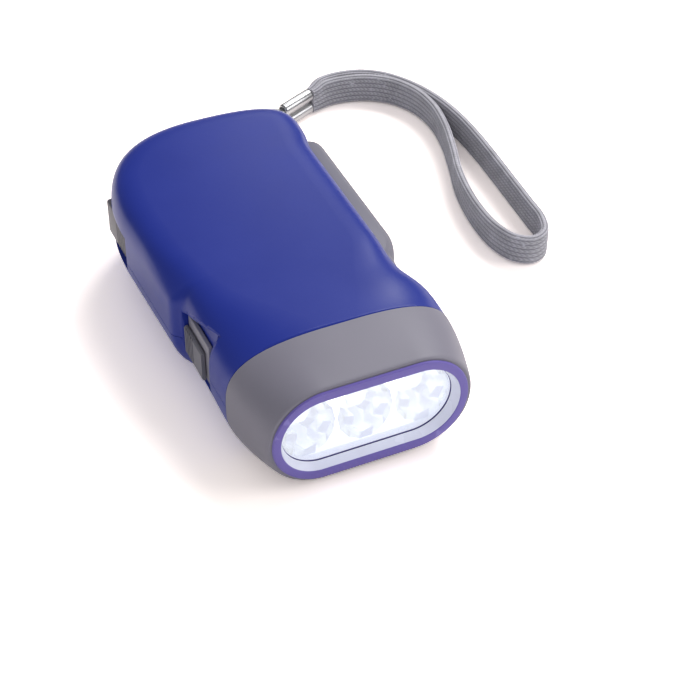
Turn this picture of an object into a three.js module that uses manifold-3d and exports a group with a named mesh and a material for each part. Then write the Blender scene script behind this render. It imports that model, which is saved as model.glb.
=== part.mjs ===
// Squeeze-lever dynamo torch with three lamps and a wrist strap, in millimetres.
// X points to the lever side, the beam leaves along -Y, and Z is up.
// The torch rests on the flat of its belly at z = 0, and y = 0 is half way along the body.

import * as THREE from 'three';
import { mergeVertices } from 'three/addons/utils/BufferGeometryUtils.js';
import Module from 'manifold-3d';

const wasm = await Module();
wasm.setup();

// Body form
const bodyLength = 105;
const bodyHeight = 29.2;
const headLength = 17.3;
const headHalfWidth = 27.1;
const gripLeftReach = 29.6;
const gripRearReach = 30.3;
const gripRightReach = 22;
const lobeReach = 23.3;
const flatShave = 0.1;
const shoulderWidth = 13.5;
const bellyWidth = 14.5;
const shellWall = 2;
const partingGap = 0.15;

// Places along the body outline, measured from the rim face of the head
const flareEndSetback = 19.5;
const flareStartSetback = 39.5;
const notchEndSetback = 40.8;
const notchStartSetback = 45.5;
const cornerStartSetback = 74.5;
const lobeFootSetback = 79.5;
const lobeTopSetback = 93;
const rearPeakOffset = 2;
const blendSetback = 46;

// Head, rim and optics
const rimNarrowing = 3.2;
const rimLift = 0.3;
const rimLowering = 1.45;
const rimFaceWidth = 2.7;
const rimFaceHeight = 3.2;
const rimThickness = 2.6;
const rimRounding = 0.85;
const rimShoulder = 1.7;
const rimFlange = 0.45;
const rimFlangeStep = 0.15;
const rimDraftWidth = 1.05;
const rimDraftHeight = 0.5;
const lensGap = 0.35;
const opticLap = 1.4;
const lensThickness = 1.5;
const reflectorDepth = 9.6;
const reflectorFlange = 1.2;
const reflectorBodyInset = 1.9;
const cupPitch = 13.6;
const cupRadius = 6.5;
const cupThroatRadius = 3.3;
const lampRadius = 2.5;
const lampFlangeRadius = 2.9;
const lampFlangeDepth = 1;
const lampHeight = 6.6;
const lampBoardThickness = 1.4;
const neckLength = 4.3;
const neckWall = 1.7;
const taperPower = 1.6;
const bezelSteps = 7;

// Squeeze lever
const leverPivotX = 18.2;
const leverPivotSetback = 33.5;
const leverBossRadius = 2.9;
const leverBottomZ = 7.2;
const leverTopZ = 22;
const leverRearSetback = 92.7;
const leverFaceReach = 28.2;
const leverRearReach = 28.1;
const leverTongueReach = 25.2;
const leverTipReach = 24.6;
const leverTipSetback = 36.4;
const leverTongueSetback = 41;
const leverStepSetback = 43.4;
const leverInnerReach = 17.8;
const leverWall = 2;
const leverEdgeWidth = 4.6;
const leverStepLength = 6;
const leverStepRound = 2;
const leverRearRound = 4;
const leverRibWidth = 1.2;
const leverSlotLead = 0.3;
const leverNeckLead = 1.5;
const leverCatchX = 16.4;
const leverCatchLength = 2;
const sectorThickness = 2.6;
const sectorLift = 1;
const pinRadius = 1.5;
const springWire = 0.8;
const springMeanRadius = 2.3;
const springPocketRadius = 4;
const springPocketHeight = 6;
const springLegLength = 8;

// Gear train
const gearModule = 0.8;
const sectorTeeth = 70;
const sectorFirstTooth = -1;
const sectorLastTooth = 5;
const firstPinionTeeth = 14;
const firstWheelTeeth = 30;
const secondPinionTeeth = 12;
const secondWheelTeeth = 26;
const rotorPinionTeeth = 13;
const meshPlay = 0.15;
const axleRadius = 1;
const hubRadius = 2.6;
const gearSideGap = 0.35;
const wheelThickness = 2;
const pinionLength = 2.8;
const axleBossRadius = 2.8;
const axleBossHeight = 2.6;
const firstMeshAngle = THREE.MathUtils.degToRad(119.5);
const secondMeshAngle = THREE.MathUtils.degToRad(131);
const rotorMeshAngle = THREE.MathUtils.degToRad(26);

// Generator
const flywheelRadius = 8.8;
const flywheelThickness = 1.4;
const magnetOuterRadius = 8.2;
const magnetInnerRadius = 4.2;
const magnetHeight = 3.8;
const airGap = 0.6;
const poleThickness = 2.6;
const poleArcHalfAngle = THREE.MathUtils.degToRad(58);
const coreHeight = 3.2;
const yokeDistance = 26.4;
const yokeWidth = 3.4;
const coilLength = 12;
const coilBuild = 2.4;
const bobbinWall = 0.8;
const gearPlateThickness = 1.1;
const gearPlateMargin = 3.6;

// Electrics
const cellRadius = 5.8;
const cellHeight = 5.2;
const cellX = -9.4;
const cellSetback = 36.5;
const cellGap = 0.25;
const cellCapHeight = 0.9;
const contactThickness = 0.4;
const contactRadius = 3.4;
const contactTailLength = 9;
const contactTailWidth = 2.4;
const cradleWall = 1.2;
const cradleHeight = 7;
const boardLength = 18;
const boardWidth = 14;
const boardThickness = 1.4;
const boardX = 6;
const boardSetback = 32;
const boardPegHeight = 2.2;
const boardPegRadius = 1.5;
const chokeRadius = 2.6;
const chokeHeight = 4.2;

// Slide switch on the left flank
const switchRearSetback = 41.9;
const knobLength = 10.6;
const knobHalfHeight = 3.95;
const knobReach = 27.3;
const knobThickness = 0.9;
const knobBevel = 0.4;
const knobStandoff = 0.3;
const knobFootLength = 7;
const knobFootHalfHeight = 2.4;
const switchPlateLength = 12.6;
const switchPlateHalfHeight = 6.9;
const switchPlateThickness = 1;
const switchTravel = 2;
const switchPocketDepthLead = 0.4;
const switchBrowRun = 0.9;
const switchBrowRise = 4.2;
const switchRoofRise = 0.7;
const switchScoopRise = 18;
const switchStemHalfHeight = 2;
const switchStemLength = 3;
const switchBlockDepth = 4.2;
const switchBlockHalfHeight = 4;
const switchTailReach = 0.9;
const switchTailWidth = 0.8;
const switchTailPitch = 3;
const knobRibPitch = 1;
const knobRibDepth = 0.35;
const knobRibCount = 5;

// Lock slider on the rear left wall
const lockFrontSetback = 73;
const lockLength = 16;
const lockBottomZ = 11.7;
const lockTopZ = 21.8;
const lockReach = 28.8;
const lockThickness = 1.3;
const lockTravel = 3;
const lockStemLength = 2.4;
const lockStemHalfHeight = 1.6;
const lockStemInset = 1;
const lockRibPitch = 1;
const lockRibDepth = 0.3;
const lockRibCount = 10;
const lockBarWidth = 2.2;
const lockBarClearance = 2.2;
const lockBarZ = 9.1;
const lockNoseX = 15.8;
const lockNoseHeight = 4;

// Screws, lug and small clearances
const screwSetbacks = [23.3, 22.1, 60.5, 97];
const screwXs = [-20, 20.1, -22, 3.4];
const screwShankRadius = 1.2;
const screwHeadRadius = 2.4;
const screwHeadHeight = 1.7;
const screwLength = 13;
const screwSink = 2.6;
const screwCrossLength = 2.6;
const screwCrossWidth = 0.7;
const screwCrossDepth = 0.9;
const postRadius = 3.3;
const lugPinRadius = 1.6;
const lugPinX = 15.2;
const lugPinInset = 5;
const lugHalfWidth = 4.8;
const lugBottomZ = 7.4;
const lugTopZ = 16.4;
const lugNotchDepth = 9.2;
const lugPinSeat = 0.8;
const fitGap = 0.3;
const lightGap = 0.15;
const cutOverrun = 3;

// Strap
const strapWidth = 8.4;
const strapThickness = 2.1;
const loopCordDiameter = 1.2;
const strapFloorGap = 0.3;
const strapEdgeRound = 0.6;
const crimpLength = 10.2;
const crimpThickness = 4.7;
const crimpHeight = 8.6;
const crimpSlotHeight = 0.5;
const crimpSlotDepth = 1.3;
const crimpBackRound = 1.2;
const crimpMouthDepth = 2.4;
const crimpMouthRadius = 1.5;
const loopLead = 3;
const loopSwing = 1.15;
const crimpX = 36.6;
const crimpY = 77.1;
const crimpAngle = THREE.MathUtils.degToRad(24);

// Shares, counts and exponents that shape the curves
const cornerRiseShare = 0.67;
const cornerRunShare = 0.63;
const lobeRunShare = 0.61;
const lobeRiseShare = 0.83;
const bendShare = 0.55;
const shoulderPower = 5.5;
const bellyPower = 1.95;
const headPower = 3;
const toothHalfShare = 0.195;
const tipHalfShare = 0.1;
const rootHalfShare = 0.29;
const addendumShare = 0.92;
const dedendumShare = 1.2;
const leverCrownShare = 0.97;
const leverRibShares = [0.3, 0.55, 0.8];
const sectorWebShare = 0.7;
const webHoleShare = 0.3;
const plateLinkShare = 0.6;
const cellCapShare = 0.72;
const chokeRimShare = 0.2;
const chokePlaceShare = 0.25;
const grooveHalfShare = 0.25;
const rimMiddleShare = 0.1;
const rimRoundShare = 0.4;
const loopRiseShares = [0.45, 0.7, 0.85, 1];
const loopRunShares = [0.3, 0.56, 0.8, 1];
const loopSpreadShares = [0.3, 0.5, 0.75, 1];
const roundSides = 16;
const smallSides = 12;
const ringSides = 22;
const formLevels = 5;
const cavityLevels = 3;
const headSides = 44;
const leverLevels = 4;
const leverRoundSteps = 4;
const webHoleCount = 4;
const cellCount = 3;
const bowlSteps = 5;
const domeSteps = 5;
const springTurns = 4;
const springTurnSteps = 8;
const springSides = 6;
const cordSides = 8;
const crimpArcSteps = 6;
const loopTurnSteps = 6;
const loopSteps = 34;
const strapSteps = 58;

// Derived places
const rearY = bodyLength / 2;
const rimY = -bodyLength / 2;
const seamY = rimY + headLength;
const partingZ = bodyHeight / 2;
const formHalfHeight = bodyHeight / 2 + flatShave;
const rimCentreZ = partingZ + rimLift;
const rimHalfWidth = headHalfWidth - rimNarrowing;
const rimHalfHeight = bodyHeight / 2 - rimLowering;
const openingHalfWidth = rimHalfWidth - rimFaceWidth;
const openingHalfHeight = rimHalfHeight - rimFaceHeight;
const opticHalfWidth = openingHalfWidth + opticLap;
const opticHalfHeight = openingHalfHeight + opticLap;
const floorZ = shellWall;
const ceilingZ = bodyHeight - shellWall;
const axleFootZ = floorZ + axleBossHeight;

const leverPivot = new THREE.Vector2(leverPivotX, rimY + leverPivotSetback);
const sectorRadius = (gearModule * sectorTeeth) / 2;
const sectorZ = leverBottomZ + sectorLift;

const firstCentre = stepOff(leverPivot, meshDistance(sectorTeeth, firstPinionTeeth), firstMeshAngle);
const secondCentre = stepOff(
  firstCentre, meshDistance(firstWheelTeeth, secondPinionTeeth), secondMeshAngle,
);
const rotorCentre = stepOff(
  secondCentre, meshDistance(secondWheelTeeth, rotorPinionTeeth), rotorMeshAngle,
);

const firstPinionZ = sectorZ - lightGap;
const firstWheelZ = firstPinionZ + sectorThickness + 2 * lightGap + gearSideGap;
const secondPinionZ = firstWheelZ - gearSideGap;
const secondWheelZ = secondPinionZ + pinionLength;
const rotorPinionZ = secondWheelZ - gearSideGap;
const gearPlateZ = rotorPinionZ + pinionLength + gearSideGap;
const flywheelZ = gearPlateZ + gearPlateThickness + gearSideGap;
const magnetZ = flywheelZ + flywheelThickness;
const coreZ = magnetZ + (magnetHeight - coreHeight) / 2;

const screwPlaces = screwXs.map((x, i) => new THREE.Vector2(x, rimY + screwSetbacks[i]));

const plate = { body: '#2c3a8c', grey: '#8c8996', dark: '#6e7076', rim: '#7062b2' };
const metal = { steel: '#b9bcc2', brass: '#c2a35a', copper: '#b4683a', chrome: '#d8d8da' };

// Small helpers

function stepOff(from, distance, angle) {
  return new THREE.Vector2(from.x + distance * Math.cos(angle), from.y + distance * Math.sin(angle));
}

function meshDistance(teethA, teethB) {
  return (gearModule * (teethA + teethB)) / 2 + meshPlay;
}

function smoothShare(value, from, to) {
  const share = THREE.MathUtils.clamp((value - from) / (to - from), 0, 1);
  return share * share * (3 - 2 * share);
}

function toSolid(geometry) {
  let source = geometry;
  if (geometry.getAttribute('normal') || !geometry.index) {
    source = geometry.clone();
    source.deleteAttribute('normal');
    source.deleteAttribute('uv');
    source = mergeVertices(source);
  }
  const vertProperties = new Float32Array(source.getAttribute('position').array);
  const triVerts = new Uint32Array(source.index.array);
  return new wasm.Manifold(new wasm.Mesh({ numProp: 3, vertProperties, triVerts }));
}

function toGeometry(solid) {
  const mesh = solid.getMesh();
  const geometry = new THREE.BufferGeometry();
  geometry.setAttribute('position', new THREE.BufferAttribute(new Float32Array(mesh.vertProperties), 3));
  geometry.setIndex(new THREE.BufferAttribute(new Uint32Array(mesh.triVerts), 1));
  return geometry;
}

function join(solids) {
  return solids.reduce((sum, solid) => sum.add(solid));
}

// Closed mesh through rings of equal point counts, with a flat fan of faces at each end.
function loft(rings) {
  const count = rings[0].length;
  const points = rings.flat();
  const index = [];
  for (let ring = 0; ring < rings.length - 1; ring += 1) {
    for (let side = 0; side < count; side += 1) {
      const a = ring * count + side;
      const b = ring * count + ((side + 1) % count);
      index.push(a, b, b + count, a, b + count, a + count);
    }
  }
  const lastStart = points.length - count;
  const firstHub = points.push(middleOf(rings[0])) - 1;
  const lastHub = points.push(middleOf(rings.at(-1))) - 1;
  for (let side = 0; side < count; side += 1) {
    const next = (side + 1) % count;
    index.push(firstHub, next, side, lastHub, lastStart + side, lastStart + next);
  }
  return toSolid(outward(points.flatMap((point) => point.toArray()), index));
}

function middleOf(points) {
  const sum = points.reduce((total, point) => total.add(point), new THREE.Vector3());
  return sum.divideScalar(points.length);
}

// A geometry whose faces point out, turned round where its volume comes out negative.
function outward(positions, index) {
  let volume = 0;
  const corner = (i) => new THREE.Vector3().fromArray(positions, 3 * i);
  for (let i = 0; i < index.length; i += 3) {
    volume += corner(index[i]).dot(corner(index[i + 1]).cross(corner(index[i + 2])));
  }
  const faces = volume < 0 ? index.slice().reverse() : index;
  const geometry = new THREE.BufferGeometry();
  geometry.setAttribute('position', new THREE.Float32BufferAttribute(positions, 3));
  geometry.setIndex(faces);
  return geometry;
}

// A shape in the floor plan, raised from one height to another.
function slab(shape, fromZ, toZ) {
  const options = { depth: toZ - fromZ, bevelEnabled: false, curveSegments: roundSides };
  return toSolid(new THREE.ExtrudeGeometry(shape, options).translate(0, 0, fromZ));
}

function block(fromX, toX, fromY, toY, fromZ, toZ) {
  const box = new THREE.BoxGeometry(toX - fromX, toY - fromY, toZ - fromZ);
  box.translate((fromX + toX) / 2, (fromY + toY) / 2, (fromZ + toZ) / 2);
  return toSolid(box);
}

function post(centre, radius, fromZ, toZ, sides = roundSides) {
  const column = new THREE.CylinderGeometry(radius, radius, toZ - fromZ, sides);
  column.rotateX(Math.PI / 2).translate(centre.x, centre.y, (fromZ + toZ) / 2);
  return toSolid(column);
}

function tubePost(centre, outerRadius, innerRadius, fromZ, toZ, sides = roundSides) {
  const bore = post(centre, innerRadius, fromZ - cutOverrun, toZ + cutOverrun, sides);
  return post(centre, outerRadius, fromZ, toZ, sides).subtract(bore);
}

// Body form

// The driving curves of the outline: name, curve, steps along it, and whether
// insets run straight across the body or along the curve's own normal.
function outlineStretches() {
  const place = (x, setback) => new THREE.Vector2(x, rimY + setback);
  const bend = (from, to) => {
    const rise = bendShare * (to.y - from.y);
    const first = new THREE.Vector2(from.x, from.y + rise);
    const second = new THREE.Vector2(to.x, to.y - rise);
    return new THREE.CubicBezierCurve(from, first, second, to);
  };
  const line = (from, to) => new THREE.LineCurve(from, to);
  const seamLeft = place(-headHalfWidth, headLength);
  const notchEnd = place(-headHalfWidth, notchEndSetback);
  const notchStart = place(-gripLeftReach, notchStartSetback);
  const cornerStart = place(-gripRearReach, cornerStartSetback);
  const rearPeak = place(-rearPeakOffset, bodyLength);
  const lobeTop = place(lobeReach, lobeTopSetback);
  const lobeFoot = place(gripRightReach, lobeFootSetback);
  const flareStart = place(gripRightReach, flareStartSetback);
  const flareEnd = place(headHalfWidth, flareEndSetback);
  const seamRight = place(headHalfWidth, headLength);
  const leftCorner = new THREE.CubicBezierCurve(
    cornerStart,
    new THREE.Vector2(cornerStart.x, cornerStart.y + cornerRiseShare * (rearY - cornerStart.y)),
    new THREE.Vector2(rearPeak.x + cornerRunShare * (cornerStart.x - rearPeak.x), rearY),
    rearPeak,
  );
  const rightCorner = new THREE.CubicBezierCurve(
    rearPeak,
    new THREE.Vector2(rearPeak.x + lobeRunShare * (lobeTop.x - rearPeak.x), rearY),
    new THREE.Vector2(lobeTop.x, lobeTop.y + lobeRiseShare * (rearY - lobeTop.y)),
    lobeTop,
  );
  return [
    { curve: line(seamLeft, notchEnd), steps: 6, across: true },
    { curve: bend(notchEnd, notchStart), steps: 6, across: true },
    { curve: line(notchStart, cornerStart), steps: 3, across: true },
    { curve: leftCorner, steps: 13, across: false },
    { curve: rightCorner, steps: 11, across: false },
    { curve: bend(lobeTop, lobeFoot), steps: 5, across: true },
    { curve: line(lobeFoot, flareStart), steps: 3, across: true },
    { curve: bend(flareStart, flareEnd), steps: 8, across: true },
    { curve: line(flareEnd, seamRight), steps: 1, across: true },
  ];
}

// Outline points at the parting line, from the left of the seam round the rear to its right,
// each with the direction in which the form draws in above and below that line.
function outlinePoints() {
  const points = [];
  for (const { curve, steps, across } of outlineStretches()) {
    for (let step = 0; step < steps; step += 1) {
      points.push(outlinePoint(curve, step / steps, across));
    }
  }
  const last = outlineStretches().at(-1);
  points.push(outlinePoint(last.curve, 1, last.across));
  return points;
}

function outlinePoint(curve, share, across) {
  const point = curve.getPoint(share);
  const tangent = curve.getTangent(share);
  const sideways = new THREE.Vector2(-Math.sign(point.x), 0);
  const inward = across ? sideways : new THREE.Vector2(tangent.y, -tangent.x);
  return { point, inward };
}

// How far the form has drawn in at height z: a crowned shoulder on the grip, a fuller curve on
// the belly, and an even oval at the seam with the head.
function drawIn(y, z, wall) {
  const above = z > partingZ;
  const headShare = smoothShare(y, rimY + blendSetback, seamY);
  const gripWidth = above ? shoulderWidth : bellyWidth;
  const gripPower = above ? shoulderPower : bellyPower;
  const width = THREE.MathUtils.lerp(gripWidth, headHalfWidth, headShare) - wall;
  const power = THREE.MathUtils.lerp(gripPower, headPower, headShare);
  const rise = Math.min(Math.abs(z - partingZ) / (formHalfHeight - wall), 1);
  return wall + width * (1 - (1 - rise ** power) ** (1 / power));
}

// Half of the body form above (side = 1) or below (side = -1) the parting line.
function bodyHalf(side, wall, levels, startOffset, frontOverrun) {
  const outline = outlinePoints();
  const span = bodyHeight / 2 - wall - startOffset;
  const rings = [];
  for (let level = 0; level <= levels; level += 1) {
    const rise = startOffset + span * Math.sin((level / levels) * (Math.PI / 2));
    const z = partingZ + side * rise;
    rings.push(outline.map(({ point, inward }, i) => {
      const inset = drawIn(point.y, z, wall);
      const atFront = i === 0 || i === outline.length - 1;
      const y = point.y + inset * inward.y - (atFront ? frontOverrun : 0);
      return new THREE.Vector3(point.x + inset * inward.x, y, z);
    }));
  }
  return loft(rings);
}

// Ring of the head at one distance along the beam. Sizes blend from the oval of the seam to
// the round-ended rim, and inset draws the ring in all round.
function headRing(y, rimShare, inset) {
  const ring = [];
  const centreZ = partingZ + rimShare * rimLift;
  for (let side = 0; side < headSides; side += 1) {
    const turn = (side / headSides) * 2 * Math.PI;
    const oval = ovalPoint(turn, headHalfWidth - inset, formHalfHeight - inset);
    const rim = roundEndPoint(turn, rimHalfWidth - inset, rimHalfHeight - inset);
    const x = THREE.MathUtils.lerp(oval.x, rim.x, rimShare);
    const z = THREE.MathUtils.lerp(oval.y, rim.y, rimShare);
    ring.push(new THREE.Vector3(x, y, centreZ + z));
  }
  return ring;
}

function ovalPoint(turn, halfWidth, halfHeight) {
  const along = new THREE.Vector2(Math.cos(turn) * halfWidth, Math.sin(turn) * halfHeight);
  const reach = Math.abs(along.x / halfWidth) ** headPower + Math.abs(along.y / halfHeight) ** headPower;
  return along.multiplyScalar(reach ** (-1 / headPower));
}

// Point of a round-ended slot outline in the direction of a turn.
function roundEndPoint(turn, halfWidth, halfHeight) {
  const along = new THREE.Vector2(Math.cos(turn) * halfWidth, Math.sin(turn) * halfHeight).normalize();
  const straight = halfWidth - halfHeight;
  const flatReach = halfHeight / Math.max(Math.abs(along.y), Number.EPSILON);
  if (flatReach * Math.abs(along.x) <= straight) return along.multiplyScalar(flatReach);
  const side = straight * Math.abs(along.x);
  const reach = side + Math.sqrt(halfHeight ** 2 - (straight * along.y) ** 2);
  return along.multiplyScalar(reach);
}

// Round-ended plate or cutter across the head, from one y to another.
function roundEndSlab(halfWidth, halfHeight, fromY, toY) {
  return loft([
    roundEndRing(halfWidth, halfHeight, fromY), roundEndRing(halfWidth, halfHeight, toY),
  ]);
}

function roundEndRing(halfWidth, halfHeight, y) {
  const ring = [];
  for (let side = 0; side < headSides; side += 1) {
    const point = roundEndPoint((side / headSides) * 2 * Math.PI, halfWidth, halfHeight);
    ring.push(new THREE.Vector3(point.x, y, rimCentreZ + point.y));
  }
  return ring;
}

// Housing shells


function axlePlaces() {
  return [firstCentre, secondCentre, rotorCentre];
}

// Tongue of the two shells that the bezel slides over.
function neckRing(side) {
  const root = shellWall / 2;
  const outerInset = shellWall + fitGap;
  const outer = loft([
    headRing(seamY + neckLength, 0, root),
    headRing(seamY + lightGap, 0, root),
    headRing(seamY + lightGap / 2, 0, outerInset),
    headRing(seamY - neckLength, 0, outerInset),
  ]);
  const inner = loft([
    headRing(seamY + neckLength + cutOverrun, 0, outerInset + neckWall),
    headRing(seamY - neckLength - cutOverrun, 0, outerInset + neckWall),
  ]);
  return outer.subtract(inner).intersect(halfSpace(side));
}

function leverSlot() {
  return block(
    leverInnerReach - fitGap - shellWall, leverFaceReach + bodyHeight,
    leverPivot.y + leverSlotLead, rimY + leverRearSetback + shellWall / 2,
    leverBottomZ - fitGap, leverTopZ + fitGap,
  );
}

function switchFloorX() {
  return switchPlateX() + switchPlateThickness + lightGap;
}

// Outer face of the sliding plate, which the thumb piece stands off.
function switchPlateX() {
  return knobThickness + knobStandoff - knobReach;
}

function switchRearY() {
  return rimY + switchRearSetback;
}

function switchStemY() {
  return switchRearY() - (knobLength + switchStemLength) / 2;
}

// Recess for the switch: its roof is low and level at the rear, and opens upward as a scoop
// towards the front. The slot of the stem runs through its floor.
function switchPocket() {
  const rearEnd = switchRearY() + switchPocketDepthLead;
  const frontEnd = switchFrontY() - fitGap;
  const floorX = switchFloorX();
  const recess = loft([
    switchSection(rearEnd, 0, 0, switchRoofRise),
    switchSection(frontEnd, switchBrowRun, switchBrowRise, switchScoopRise),
  ]);
  const slot = block(
    floorX - lightGap, floorX + 2 * shellWall,
    switchStemY() - switchTravel - fitGap, switchStemY() + switchStemLength + fitGap,
    partingZ - switchStemHalfHeight - lightGap, partingZ + switchStemHalfHeight + lightGap,
  );
  return recess.add(slot);
}

function switchFrontY() {
  return switchRearY() - switchPlateLength - switchTravel;
}

// Cross-section of the recess: straight floor, then a brow, then the roof out past the wall.
function switchSection(y, browRun, browRise, roofRise) {
  const floorX = switchFloorX();
  const farX = -bodyLength / 2;
  const bottomZ = partingZ - switchPlateHalfHeight - fitGap;
  const topZ = partingZ + switchPlateHalfHeight + fitGap;
  return [
    new THREE.Vector3(farX, y, bottomZ),
    new THREE.Vector3(floorX, y, bottomZ),
    new THREE.Vector3(floorX, y, topZ),
    new THREE.Vector3(floorX + browRun, y, topZ + browRise),
    new THREE.Vector3(farX, y, topZ + browRise + roofRise),
  ];
}

// Wall behind the switch, thick enough to hold its recess and the scoop above it.
function switchBacking() {
  const fromY = switchFrontY() - shellWall;
  const toY = switchRearY() + 2 * shellWall;
  const innerX = switchFloorX() + shellWall;
  const lowZ = partingZ - switchPlateHalfHeight - 2 * shellWall;
  const wall = block(-bodyLength, innerX, fromY, toY, lowZ, bodyHeight);
  const browZ = partingZ + switchPlateHalfHeight - shellWall;
  const brow = block(-bodyLength, innerX + switchBrowRun, fromY, toY, browZ, bodyHeight);
  return wall.add(brow);
}

function lockFrontY() {
  return rimY + lockFrontSetback;
}

function lockStemY() {
  return lockFrontY() + lockLength - lockStemInset - lockStemLength;
}

function lockFloorX() {
  return lockThickness + lightGap - lockReach;
}

// Where the bar inside hangs on the lock's stem, clear of the wall and of the seat's backing.
function lockBarX() {
  return Math.max(shellWall - gripRearReach, lockFloorX() + shellWall) + lockBarClearance;
}

// Shallow seat for the lock plate, open to the rear, with the slot of its stem.
function lockSeat() {
  const fromY = lockFrontY() - fitGap;
  const seat = block(
    -bodyLength, lockFloorX(), fromY, lockFrontY() + lockLength + lockTravel + fitGap,
    lockBottomZ - fitGap, lockTopZ + fitGap,
  );
  const slot = block(
    lockFloorX() - lightGap, lockFloorX() + 2 * shellWall,
    lockStemY() - fitGap, lockStemY() + lockStemLength + lockTravel + fitGap,
    partingZ - lockStemHalfHeight - lightGap, partingZ + lockStemHalfHeight + lightGap,
  );
  return join([seat, slot]);
}

function lockBacking() {
  return block(
    -bodyLength, lockFloorX() + shellWall,
    lockFrontY() - shellWall, lockFrontY() + lockLength + lockTravel + shellWall,
    lockBottomZ - shellWall, lockTopZ + shellWall,
  );
}

// Notch in the rear right corner that the cord of the strap passes through.
function lugNotch() {
  return block(
    lugPinX - lugHalfWidth, lugPinX + lugHalfWidth,
    rearY - lugNotchDepth, rearY + cutOverrun,
    lugBottomZ, lugTopZ,
  );
}

// Solid block behind the notch, so that the notch opens to the rear only.
function lugHousing() {
  return block(
    lugPinX - lugHalfWidth - shellWall, lugPinX + lugHalfWidth + shellWall,
    rearY - lugNotchDepth - shellWall, rearY,
    lugBottomZ - shellWall, lugTopZ + shellWall,
  );
}

function lugPinCentre() {
  return new THREE.Vector2(lugPinX, rearY - lugPinInset);
}

function lugPinSolid() {
  return post(lugPinCentre(), lugPinRadius, lugBottomZ - lugPinSeat, lugTopZ + lugPinSeat);
}

function halfSpace(side) {
  const nearZ = partingZ + (side * partingGap) / 2;
  const farZ = partingZ + side * bodyHeight;
  return block(
    -bodyLength, bodyLength, -bodyLength, bodyLength,
    Math.min(nearZ, farZ), Math.max(nearZ, farZ),
  );
}

// Features shared by both half shells: screw posts, lever bearing, lug and pocket walls.
function sharedFeatures(side) {
  const farZ = partingZ + side * (bodyHeight / 2);
  const nearZ = partingZ + (side * partingGap) / 2;
  const between = (centre, radius, z) => post(centre, radius, Math.min(z, farZ), Math.max(z, farZ));
  const leverZ = side > 0 ? leverTopZ + fitGap : leverBottomZ - fitGap;
  const features = screwPlaces.map((centre) => between(centre, postRadius, nearZ));
  const walls = join([lugHousing(), switchBacking(), lockBacking()]).intersect(halfSpace(side));
  features.push(between(leverPivot, leverBossRadius, leverZ), walls);
  return features;
}

function sharedCuts() {
  return [
    post(leverPivot, pinRadius + lightGap / 2, floorZ, ceilingZ, smallSides),
    post(lugPinCentre(), lugPinRadius + lightGap / 2, lugBottomZ - shellWall / 2, lugTopZ + shellWall / 2),
    post(leverPivot, leverBossRadius + fitGap, leverBottomZ - fitGap, leverTopZ + fitGap),
    leverSlot(), switchPocket(), lockSeat(), lugNotch(),
  ];
}

function shellSolid(side, features, cuts) {
  const skin = bodyHalf(side, 0, formLevels, partingGap / 2, 0);
  const cavity = bodyHalf(side, shellWall, cavityLevels, -cutOverrun / 2, cutOverrun);
  const inside = join([...sharedFeatures(side), ...features]).intersect(skin);
  return skin.subtract(cavity).add(neckRing(side)).add(inside)
    .subtract(join([...sharedCuts(), ...cuts]));
}

function bottomShellSolid() {
  const features = axlePlaces().map((centre) => post(centre, axleBossRadius, 0, axleFootZ));
  features.push(cellCradle());
  boardPegPlaces().forEach((centre) => {
    features.push(post(centre, boardPegRadius, 0, floorZ + boardPegHeight));
  });
  const cuts = screwPlaces.map((centre) => screwHole(centre));
  cuts.push(post(cellCentre(), cellRadius + fitGap, floorZ, floorZ + cradleHeight));
  axlePlaces().forEach((centre) => {
    cuts.push(post(centre, axleRadius + lightGap / 2, floorZ, axleFootZ + cutOverrun, smallSides));
  });
  return shellSolid(-1, features, cuts);
}

function screwHole(centre) {
  const headZ = screwSink + screwHeadHeight;
  const well = post(centre, screwHeadRadius + fitGap, -cutOverrun, headZ + lightGap);
  return well.add(post(centre, screwShankRadius + lightGap, 0, partingZ + cutOverrun, smallSides));
}

function topShellSolid() {
  const features = [
    post(rotorCentre, axleBossRadius, rotorTopZ() + gearSideGap, bodyHeight),
    post(cellCentre(), contactRadius, contactZ() + contactThickness + lightGap, bodyHeight),
  ];
  const pilotTop = screwSink + screwHeadHeight + screwLength + fitGap;
  const cuts = screwPlaces.map((centre) => (
    post(centre, screwShankRadius + lightGap, partingZ - cutOverrun, pilotTop, smallSides)
  ));
  cuts.push(post(rotorCentre, axleRadius + lightGap / 2, partingZ, ceilingZ, smallSides));
  return shellSolid(1, features, cuts);
}

// Head pieces

function bezelSolid() {
  const frontY = rimY + rimFlange + lightGap;
  const shoulderY = rimY + rimShoulder;
  const rearFaceY = seamY - lightGap;
  const rings = [];
  for (let step = 0; step <= bezelSteps; step += 1) {
    const y = THREE.MathUtils.lerp(rearFaceY, shoulderY, step / bezelSteps);
    rings.push(headRing(y, headTaper(y), 0));
  }
  const middleY = (shoulderY + frontY) / 2;
  rings.push(headRing(middleY, headTaper(middleY), rimRounding * rimMiddleShare));
  rings.push(headRing(frontY, headTaper(frontY), rimRounding * rimRoundShare));
  const socket = loft([
    headRing(rearFaceY + cutOverrun, 0, shellWall),
    headRing(seamY - neckLength - fitGap, 0, shellWall),
  ]);
  const bore = roundEndSlab(
    opticHalfWidth + fitGap, opticHalfHeight + fitGap, seamY + cutOverrun, frontY - cutOverrun,
  );
  const withinHeight = block(-bodyLength, bodyLength, -bodyLength, bodyLength, 0, bodyHeight);
  return loft(rings).subtract(socket).subtract(bore).intersect(withinHeight);
}

// Share of the way from the oval seam to the rim: the sides bow out, then draw in faster.
function headTaper(y) {
  const along = (seamY - y) / (seamY - rimY);
  return along ** taperPower;
}

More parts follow.
